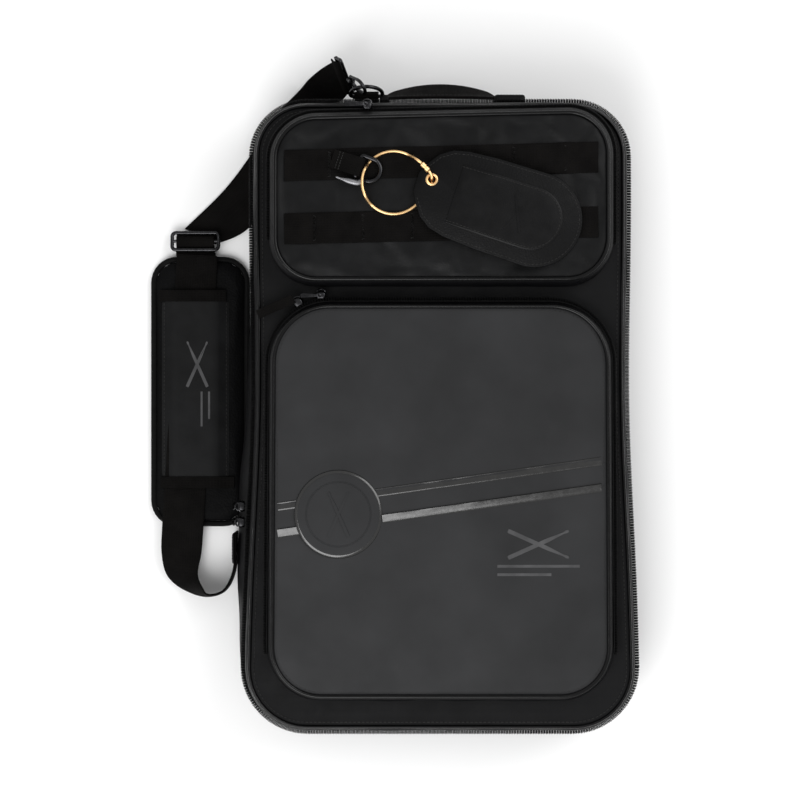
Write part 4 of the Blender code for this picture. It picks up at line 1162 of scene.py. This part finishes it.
def build_tag():
    matrix = Matrix.Translation((*TAG_PIVOT, 0)) @ Matrix.Rotation(math.radians(-18), 4, "Z")
    matrix @= Matrix.Translation((-TAG_EYELET[0], -TAG_EYELET[1], 0))
    sections = [(0.9, 105.0), (0.25, 105.25), (0.0, 105.8), (0.0, 106.6), (0.3, 107.15)]
    sections += [(0.9, 107.4)]
    plate = loft([flat_points(tag_edge(inset), z) for inset, z in sections])
    plate = pierced(plate, TAG_EYELET, 3.9, 103, 110)
    piece("tag_leather_back", carried(matrix, plate), LEATHER, "address_tag", ["tag_back"],
          angle=35)

    def face_edge(inset):
        low = [(31.0 + inset * 0.3, inset - 23.5), (60.0, inset - 24.3)]
        high = [(60.0, 24.3 - inset), (31.0 + inset * 0.3, 23.5 - inset)]
        return low + arc(93, 0, 24.5 - inset, -90, 90, 24) + [(93.0, 24.5 - inset)] + high

    sections = [(0.0, 107.5), (0.0, 107.9), (0.5, 108.2), (1.3, 108.35), (14, 108.5)]
    face = loft([flat_points(face_edge(inset), z) for inset, z in sections])
    piece("tag_face", carried(matrix, face), SMOOTH_LEATHER, "address_tag", ["tag_window"],
          angle=35)
    rows = [stitches(flat_points(tag_edge(2.4, 1), 107.45), 3.1, 2.1, 0.5)]
    rows.append(stitches(flat_points(face_edge(1.9), 108.4), 2.9, 2.0, 0.5))
    piece("tag_stitches", carried(matrix, joined(rows)), THREAD, "address_tag", slot="tag_leather")
    relief = stick_relief(Vector((82, 0, 0)), 15.0, math.radians(90), 108.3, 108.95)
    piece("tag_emboss", carried(matrix, joined(relief)), SMOOTH_LEATHER, "address_tag")
    profile = [(2.9, 105.0), (2.9, 107.9), (3.2, 108.2), (3.9, 108.35), (4.6, 108.1), (4.9, 107.7)]
    profile += [(4.8, 107.45), (3.75, 107.45), (3.75, 104.85), (4.9, 104.8), (4.6, 104.4)]
    profile += [(3.2, 104.5)]
    piece("gold_eyelet", carried(matrix, turned(profile, TAG_EYELET)), GOLD, "address_tag",
          ["tag_eyelet"])


# ---------------------------------------------------------------- handle, strap and hook

TOP_SIDE_Y = 249.8


def leather_patch(name, low, high, node, normal="Y"):
    """A stitched patch flat on the bag's side: thin and pillowed, between two corners."""
    low, high = Vector(low), Vector(high)
    along = 0 if normal == "Y" else 1
    deep = 1 - along
    width, height = high[along] - low[along], high[2] - low[2]
    centre = (low + high) / 2
    outline = rounded(width / 2, width / 2, -height / 2, height / 2, 1.6, 1.6, steps=(4, 8, 8))

    def ring(inset, depth):
        scale_x, scale_z = (width - 2 * inset) / width, (height - 2 * inset) / height
        loop = []
        for x, z in outline:
            point = Vector(centre)
            point[along] += x * scale_x
            point[2] += z * scale_z
            point[deep] = depth
            loop.append(point)
        return loop

    inner, outer = (low[deep], high[deep]) if normal == "Y" else (high[deep], low[deep])
    thick = outer - inner
    sections = ((0.0, 0.0), (0.0, 0.5), (0.5, 0.85), (1.4, 1.0))
    shape = loft([ring(inset, inner + thick * share) for inset, share in sections])
    up = Vector((0, 0, 0))
    up[deep] = math.copysign(1, thick)
    seam = stitches(ring(min(1.9, width * 0.3), outer), 2.4, 1.7, 0.45, up=up, closed=True)
    piece(name, shape, LEATHER, "case", [node], angle=40)
    piece(name + "_stitches", seam, THREAD, "case", slot="tag_leather")


def build_handle():
    edges = []
    for i in range(13):
        t = i / 12
        x = -46.5 + 94.0 * t
        rise = math.sin(math.pi * t) ** 0.6 if 0 < t < 1 else 0.0
        edges.append(((x, 251.0 + 0.7 * rise, 50.0), (x, 251.8 + 12.4 * rise, 23.0 + 3 * rise)))
    piece("handle_webbing", webbing(edges, 2.2, 4), WEBBING, "case", ["carry_handle"])
    rows = []
    for share in (0.12, 0.88):
        row = [Vector(a).lerp(Vector(b), share) + Vector((0, 1.15, 0.3)) for a, b in edges]
        rows.append(stitches(smooth_path(row, 3), 3.2, 2.2, 0.5, up=(0, 1, 0.2)))
    piece("handle_stitches", joined(rows), THREAD, "case")
    leather_patch("handle_patch_left", (-47.6, TOP_SIDE_Y, 22), (-40.4, 254.3, 51),
                  "handle_anchor_left")
    leather_patch("handle_patch_right", (43.0, TOP_SIDE_Y, 22), (67.5, 254.3, 51),
                  "handle_anchor_right")


D_RING_BAR = Vector((-58.0, 253.4, 47.0))
D_RING_UP = Vector((0.0, 0.342, 0.94))


def build_top_ring():
    path = [(26.0, 250.6), (38.0, 250.6), (44.5, 250.8)]
    path += [(47.0 + 2.9 * math.sin(math.radians(a)), 253.4 - 2.9 * math.cos(math.radians(a)))
             for a in (20, 60, 100, 140, 175)]
    path += [(42.5, 254.3), (36.0, 252.4), (26.0, 252.2)]
    edges = [((-67.6, y, z), (-48.4, y, z)) for z, y in path]
    piece("ring_tab_webbing", webbing(edges, 1.4, 4), WEBBING, "case", ["top_ring_tab"])
    half = 12.5
    loop = [(-half + 2, 0), (0, 0), (half - 2, 0), (half - 0.6, 0.6), (half, 2.2)]
    loop += arc(0, 5, half, 0, 180, 14) + [(-half, 5), (-half, 2.2), (-half + 0.6, 0.6)]
    path = smooth_path(flat_points(loop), 3, closed=True)
    matrix = axes(D_RING_BAR, (1, 0, 0), D_RING_UP)
    piece("d_ring_wire", carried(matrix, tube(path, 1.55, 14, closed=True)), BLACK_METAL, "d_ring",
          ["top_d_ring"])


HOOK = axes((-62.4, 259.3, 63.2), (-0.529, 0.381, -0.757), (0.294, -0.754, -0.585))


def build_snap_hook():
    bow = 6.2
    path = [(13.6, 0.0), (12.6, 2.6), (9.6, 5.2), (5.0, bow)]
    path += arc(0.5, 0, bow, 80, 270, 10) + [(0.8, -bow), (2.4, -bow)]
    path = smooth_path(flat_points(path), 4)
    sizes = [1.9 - 0.5 * min(1.0, i / 20) for i in range(len(path))]
    parts = [tube(path, sizes, 14)]
    swivel = [(12.6, 2.0), (13.2, 2.9), (14.4, 3.0), (15.2, 2.5), (16.4, 2.5), (16.8, 1.9)]
    parts.append(tube([(x, 0, 0) for x, r in swivel], [r for x, r in swivel], 20))
    parts.append(tube([(13.2, -4.6, 0), (13.6, -3.0, 0), (13.6, 0.0, 0)], 1.3, 10))
    piece("snap_hook_bow", carried(HOOK, joined(parts)), BLACK_METAL, "snap_hook", ["strap_hook"],
          angle=40)
    gate = [(3.2, -bow + 0.1, 0), (6.5, -bow + 0.2, 0), (10.0, -bow + 0.7, 0), (12.6, -5.4, 0)]
    shape = tube(smooth_path(gate, 4), 1.15, 12)
    piece("snap_hook_gate_arm", carried(HOOK, shape), BLACK_METAL, "snap_hook_gate", ["hook_gate"])
    half = 16.8
    loop = [(19.8, -half), (19.5, 0.0), (19.8, half), (22.0, half + 1.2), (25.0, half + 1.1)]
    loop += [(27.0, half), (27.0, 0.0), (27.0, -half), (25.0, -half - 1.1), (22.0, -half - 1.2)]
    path = smooth_path(flat_points(loop), 6, closed=True)
    stem = tube([(17.4, 0, 0), (18.2, 0, 0), (19.4, 0, 0)], [2.0, 2.2, 1.6], 14)
    shape = joined([tube(path, 1.25, 12, closed=True), stem])
    piece("strap_loop_wire", carried(HOOK, shape), BLACK_METAL, "case", ["hook_strap_loop"])


STRAP_UPPER = (
    ((-81.4, 281.8, 49.9), (-72.4, 257.8, 30.6)),
    ((-93.0, 277.4, 32.0), (-79.0, 252.4, 14.5)),
    ((-104.5, 270.6, 12.0), (-87.0, 251.1, 4.0)),
    ((-113.0, 262.0, 2.0), (-92.0, 240.5, 1.5)),
    ((-132.2, 241.8, 1.2), (-104.6, 222.0, 1.2)),
    ((-147.5, 216.8, 1.2), (-119.9, 196.9, 1.2)),
    ((-172.5, 183.0, 1.2), (-152.4, 152.4, 1.2)),
    ((-205.0, 151.0, 1.7), (-180.0, 138.5, 1.7)),
)
STRAP_LOWER = (
    ((-211.0, 147.5, 1.6), (-181.0, 136.8, 1.6)),
    ((-211.5, 136.5, 4.4), (-180.5, 134.0, 4.4)),
    ((-211.5, 129.8, 8.8), (-179.5, 128.6, 8.8)),
    ((-211.0, 124.0, 10.6), (-178.2, 122.2, 10.6)),
    ((-214.0, 72.0, 10.6), (-181.0, 70.0, 10.6)),
    ((-219.0, -30.0, 10.6), (-186.0, -32.0, 10.6)),
    ((-222.5, -88.0, 10.6), (-189.4, -90.0, 10.6)),
    ((-223.0, -110.5, 9.8), (-191.0, -110.0, 10.6)),
    ((-219.0, -128.0, 4.8), (-193.5, -126.0, 17.0)),
    ((-206.5, -139.0, 2.6), (-189.5, -136.0, 29.0)),
    ((-188.0, -145.0, 1.7), (-184.0, -142.0, 32.0)),
    ((-172.0, -140.0, 2.6), (-171.5, -138.0, 34.0)),
    ((-163.6, -122.0, 4.6), (-163.6, -121.0, 36.5)),
    ((-162.2, -92.0, 5.4), (-162.2, -92.0, 38.0)),
)


def build_strap():
    fold = [(33.5, -1.5), (29.5, -2.3), (27.0, -2.6), (24.6, -1.7), (23.9, 0.0), (24.6, 1.7)]
    fold += [(27.0, 2.6), (29.5, 2.3), (33.5, 1.5)]
    edges = [((x, -15.6, z), (x, 15.6, z)) for x, z in fold]
    piece("strap_end_fold", carried(HOOK, webbing(edges, 1.3, 4)), WEBBING, "case")
    piece("strap_webbing_upper", webbing(STRAP_UPPER, 1.6, 8), WEBBING, "case", ["strap_upper"])
    piece("strap_webbing_lower", webbing(STRAP_LOWER, 1.5, 8), WEBBING, "case", ["strap_lower"])
    leather_patch("strap_patch", (-164.9, -117, 4), (-163.5, -93, 39), "strap_anchor_patch",
                  normal="X")

    tilt = Matrix.Translation((-196.0, 140.6, 8.6)) @ Matrix.Rotation(math.radians(-13.5), 4, "X")
    frame_line = rounded(18.6, 18.6, -7.1, 7.1, 3.0, 3.0, steps=(5, 4, 10))
    parts = [tube(flat_points(frame_line), 1.5, 12, closed=True, flat=0.85)]
    parts.append(tube([(-18.4, 0, 0), (0, 0, 0), (18.4, 0, 0)], 1.25, 12))
    piece("tri_glide_frame", carried(tilt, joined(parts)), BLACK_METAL, "case", ["tri_glide"])
    fold = [(-6.9, -3.4), (-4.6, -1.6), (-2.6, 1.2), (0.0, 2.4), (2.6, 1.2), (4.6, -1.6)]
    fold += [(6.9, -3.4)]
    edges = [((-15.2, y, z), (15.2, y, z)) for y, z in fold]
    piece("strap_fold", carried(tilt, webbing(edges, 1.4, 4)), WEBBING, "case")


# ---------------------------------------------------------------- shoulder pad

PAD_CENTRE = Vector((-192.2, 19.8, 0))
PAD_HALF = (38.5, 107.3)


def swollen(shape, voxel, pressure, cap):
    """A closed form remeshed and blown up a little as cloth, no point moving past the cap."""
    obj = add_object("pad_form", make_mesh("pad_form", *shape))
    remesh = obj.modifiers.new("remesh", "REMESH")
    remesh.mode = "VOXEL"
    remesh.voxel_size = voxel * MM
    verts, faces = evaluated(obj)
    discard(obj)
    moved = []
    for before, after in zip(verts, simulate(verts, faces, [], pressure, 0.0)):
        step = after - before
        moved.append(before + step * min(1.0, cap / max(step.length, 1e-9)))
    return moved, faces


def pad_height(x):
    """The panel's height over the strap, lower towards its two stitched edges."""
    return 9.7 + 2.9 * (1 - eased(abs(x + 4.0), 15.5, 27.5))


def build_shoulder_pad():
    outline = rounded(PAD_HALF[0], PAD_HALF[0], -PAD_HALF[1], PAD_HALF[1], 19, 19, steps=(8, 20, 8))

    def loop(inset, z):
        scale = (1 - inset / PAD_HALF[0], 1 - inset / PAD_HALF[1])
        return [Vector((x * scale[0], y * scale[1], z)) for x, y in outline]

    sections = [(5.0, 1.0), (2.6, 1.4), (1.2, 3.0), (1.4, 5.0), (4.0, 7.0), (9.0, 8.2)]
    form = loft([loop(inset, z) for inset, z in sections])
    place = Matrix.Translation(PAD_CENTRE)
    verts, faces = swollen(form, 4.0, 3.0, 1.2)
    for point in verts:
        point.z = min(9.5, max(0.25, point.z))
    cushion = piece("pad_cushion", carried(place, (verts, faces)), FOAM, "pad", ["shoulder_pad"],
                    angle=80)
    finer = cushion.modifiers.new("finer", "SUBSURF")
    finer.levels = finer.render_levels = 1
    binding = tube(loop(1.0, 3.9), 2.2, 10, closed=True, flat=0.8)
    piece("pad_binding", carried(place, binding), BINDING, "pad")

    verts, faces, border = grid_panel(26.9, -68.4, 72.4, (1.5, 1.5), 3.6, 0.0)
    for point in verts:
        point.x -= 3.65
        wobble = 0.35 * noise.noise(point / 22.0)
        point.z = pad_height(point.x) + wobble
    surface = Surface(verts, faces)
    under = [p + Vector((0, 0, -1.1)) for p in verts]
    piece("pad_strap_cover", carried(place, rimmed(verts, faces, border, (), under)), CREASED,
          "pad", ["pad_panel"], angle=60)
    rows = []
    for x in (-28.6, 21.3):
        seam = [Vector((x, y, pad_height(x) + 0.35)) for y in range(-66, 71, 4)]
        rows.append(stitches(seam, 3.2, 2.2, 0.5))
    piece("pad_cover_stitches", carried(place, joined(rows)), THREAD, "pad", slot="panel")
    for name, y, low_x, high_x in (("upper", 76.9, -32.3, 20.7), ("lower", -72.9, -31.3, 27.7)):
        edges = []
        for i in range(15):
            x = low_x + (high_x - low_x) * i / 14
            z = pad_height(x) + 0.75
            edges.append(((x, y + 4.6, z), (x, y - 4.6, z)))
        piece(f"pad_band_webbing_{name}", carried(place, webbing(edges, 1.3, 2)), WEBBING, "pad",
              [f"pad_band_{name}"])
    marks = crossed_sticks(Vector((-2, 22, 0)), 20.0, math.radians(90))
    marks += rule((7.5, -22, 0), (7.5, 0, 0), 1.6) + rule((1.5, -28, 0), (1.5, 0, 0), 1.6)
    shape = print_on(surface, marks, -0.4, 0.16)
    piece("pad_print", carried(place, shape), PRINT, "pad")


# ---------------------------------------------------------------- back, sleeves and sliders


def build_back_pad():
    verts, faces, border = grid_panel(110, -203, 203, (28, 28), 7.0, 6.2)
    low = [Vector((p.x * 0.985, p.y * 0.993, 0.05)) for p in verts]
    for point in low:
        channel = abs(math.sin(math.pi * (point.y + 203) / 58.0))
        point.z += 1.1 * (1 - channel) ** 4
    shape = rimmed(verts, faces, border, ((1.6, 5.2), (2.0, 3.4), (1.2, 1.4)), low)
    back = piece("back_cushion", shape, FOAM, "case", ["back_pad"], angle=60)


def pouch_shape(low_x, high_x, low_y, high_y, low_z, high_z, sag=1.5):
    """A fabric pouch open at its +Y end, its upper sheet a little slack."""
    loops = []
    count = 24
    for i in range(count + 1):
        y = low_y + (high_y - low_y) * i / count
        ring = []
        for j in range(17):
            t = j / 16
            x = high_x - (high_x - low_x) * t
            slack = sag * math.sin(math.pi * t) * math.sin(math.pi * min(1.0, 0.15 + i / count))
            slack += 0.5 * noise.noise(Vector((x / 20, y / 24, 0)))
            lift = min(1.0, 6.0 * min(t, 1 - t) + 0.15)
            ring.append(Vector((x, y, low_z + (high_z - low_z - slack) * lift)))
        loops.append(ring + [p - Vector((0, 0, 1.2)) for p in reversed(ring)])
    return loft(loops)


def build_interior():
    for name, low_x, high_x in (("left", -131, -1), ("right", 1, 131)):
        shape = pouch_shape(low_x, high_x, -205, 150, 12.0, 36.0)
        piece(f"sleeve_{name}", shape, LINING, "case", [f"stick_sleeve_{name}"])
        hem = [Vector((x, 147.0, z)) for x, z in
               ((low_x + 12, 34.6), ((low_x + high_x) / 2, 33.9), (high_x - 12, 34.6))]
        seam = stitches(smooth_path(hem, 8), 3.4, 2.3, 0.5)
        piece(f"sleeve_{name}_stitches", seam, THREAD, "case", slot="lining")
    verts, faces = pouch_shape(-122, 122, -215, 60, 0.0, 8.0, sag=1.2)
    verts = [Vector((p.x, p.y, 73.2 - p.z)) for p in verts]
    piece("lid_pocket", (verts, faces), LINING, "lid", ["lid_inner_pocket"])


def slider_shape(length=9.0, depth=4.6, height=6.6):
    """A zip slider: two rounded plates joined at the nose, with a bridge on its outer face."""
    sections = []
    for y, scale in ((-0.9, 0.86), (0.2, 0.96), (depth * 0.55, 1.0), (depth * 0.8, 0.92),
                     (depth, 0.7)):
        outline = rounded(length / 2 * scale, length / 2 * scale * 0.78, -height / 2 * scale,
                          height / 2 * scale, 1.4, 1.4, steps=(4, 2, 2))
        sections.append([Vector((x, y, z)) for x, z in outline])
    parts = [loft(sections)]
    arch = [(-3.0, depth - 0.5, 0), (-2.2, depth + 1.0, 0), (0, depth + 1.5, 0)]
    arch += [(2.2, depth + 1.0, 0), (3.0, depth - 0.5, 0)]
    parts.append(tube(smooth_path(arch, 4), 0.75, 8))
    return joined(parts)


def pull_shape(length, width):
    """A flat pull: an eye at the pin, then a plate that widens to a round end with a slot."""
    eye = arc(1.4, 0, 1.3, 0, 360, 14)
    parts = [tube(flat_points(eye), 0.55, 8, closed=True)]
    half = width / 2
    outline = [(2.4, -half * 0.5), (4.2, -half * 0.62), (length - half, -half)]
    outline += arc(length - half, 0, half, -80, 90, 10) + [(length - half, half)]
    outline += [(4.2, half * 0.62), (2.4, half * 0.5)]
    rings = []
    middle = Vector((length * 0.6, 0, 0))
    for scale, z in ((0.94, -0.62), (1.0, -0.35), (1.0, 0.35), (0.94, 0.62), (0.72, 0.62),
                     (0.66, 0.36)):
        rings.append([middle + (Vector((x, y, 0)) - middle) * scale + Vector((0, 0, z))
                      for x, y in outline])
    parts.append(loft(rings))
    return joined(parts)


def build_slider(name, foot, outward, body, node):
    outward = Vector(outward).normalized()
    matrix = axes(foot, outward.cross(Vector((0, 0, 1))), outward)
    piece(name, carried(matrix, slider_shape()), BLACK_METAL, body, [node], angle=40)


def build_pull(name, pin, direction, across, length, width, body, node):
    matrix = axes(pin, direction, across)
    piece(name, carried(matrix, pull_shape(length, width)), BLACK_METAL, body, [node], angle=40)


def frame_foot(name):
    """How far out the main zip's slider starts, from its place in the model."""
    low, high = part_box(f"main_slider_{name}")
    return max(low[0], high[0]) / MM


def build_sliders():
    # The main zip's two sliders meet on the left side
    for letter, name, y in (("a", "upper", -71.0), ("b", "lower", -83.5)):
        foot = (frame_foot(name), y, ZIP_Z)
        build_slider(f"main_zip_slider_{name}", foot, (-1, 0, 0), f"main_slider_{letter}",
                     f"main_slider_{name}")
        pin = (foot[0] - 6.0, y, ZIP_Z)
        build_pull(f"main_zip_pull_{name}", pin, (-0.3, 0, -0.954), (0, 1, 0), 9.5, 6.0,
                   f"main_pull_{letter}", f"main_pull_{name}")

    corner, corner_centre = Vector((-110.07, 87.56, 86.5)), Vector((-86.8, 41.5, 86.5))
    build_slider("pocket_corner_slider", corner, corner - corner_centre, "pocket_slider_a",
                 "pocket_slider_corner")
    build_webbing_pull()
    build_slider("pocket_top_slider", (-93, 93.1, 86.5), (0, 1, 0), "pocket_slider_b",
                 "pocket_slider_top")
    build_pull("pocket_top_pull", (-93, 94.2, 91.1), (-1, 0, 0), (0, 1, 0), 16.0, 3.6,
               "pocket_pull_b", "pocket_pull_top")
    build_slider("upper_zip_slider", (-57, 240.3, 90), (0.022, 1, 0), "upper_pocket_slider",
                 "upper_slider")
    build_pull("upper_zip_pull", (-57, 242.8, 94.6), (-1, 0.022, 0), (0, 1, 0), 18.0, 4.6,
               "upper_pocket_pull", "upper_pull")


def build_webbing_pull():
    """The corner slider's pull: folded webbing through the slider's eye, sewn to itself."""
    matrix = axes((-114.5, 91.5, 91.8), (-0.9, -0.388, -0.202), (-0.396, 0.918, 0))
    edges = [((x, 3.5, z), (x, -3.5, z)) for x, z in
             ((30.8, 0.75), (16, 0.8), (5, 0.8), (1.2, 0.7), (0.2, 0.0), (1.2, -0.7), (5, -0.8),
              (16, -0.8), (30.8, -0.75))]
    piece("pocket_corner_pull", carried(matrix, webbing(edges, 1.2, 4)), WEBBING, "pocket_pull_a",
          ["pocket_pull_corner"])
    parts = []
    for x in (6.0, 9.0):
        row = [(x, y, 1.45) for y in (-2.9, 0, 2.9)]
        parts.append(carried(matrix, stitches(row, 1.4, 1.1, 0.4)))
    piece("pocket_corner_pull_stitches", joined(parts), THREAD, "pocket_pull_a")


# ---------------------------------------------------------------- stage


FLOOR_REACH = 3000
CAMERA_PLACE, CAMERA_LENS = (-0.0315, 0.013, 2.5), 139.5


def build_stage():
    corners = [(x * FLOOR_REACH, y * FLOOR_REACH) for x, y in ((-1, -1), (1, -1), (1, 1), (-1, 1))]
    floor = piece("floor", loft([raised(corners, z) for z in (-6.0, -0.3)]), FLOOR)
    world = bpy.data.worlds.new("studio")
    world.use_nodes = True
    bpy.context.scene.world = world
    sky = world.node_tree.nodes["Background"]
    sky.inputs["Color"].default_value = (1.0, 1.0, 1.0, 1.0)
    sky.inputs["Strength"].default_value = 0.6
    for name, place, size, power in (
        ("key_light", (-0.6, -1.2, 1.8), 1.5, 33.0),
        ("fill_light", (1.3, 0.9, 1.7), 1.5, 23.0),
    ):
        light = bpy.data.lights.new(name, "AREA")
        light.size = size
        light.energy = power
        lamp = add_object(name, light)
        lamp.location = place
        lamp.rotation_euler = (-Vector(place)).to_track_quat("-Z", "Y").to_euler()
    camera = bpy.data.cameras.new("camera")
    camera.lens = CAMERA_LENS
    camera.sensor_width = 36
    eye = add_object("camera", camera)
    eye.location = CAMERA_PLACE
    bpy.context.scene.camera = eye
    bpy.context.scene.view_settings.view_transform = "Standard"


build_stage()
build_rear_half()
build_main_zip()
build_lid()
lower_surface = build_lower_pocket()
upper_surface = build_upper_pocket()
build_lower_trims(lower_surface)
build_webbing_rows(upper_surface)
build_key_clip()
build_cable_ring()
build_tag()
build_handle()
build_top_ring()
build_snap_hook()
build_strap()
build_shoulder_pad()
build_back_pad()
build_interior()
build_sliders()
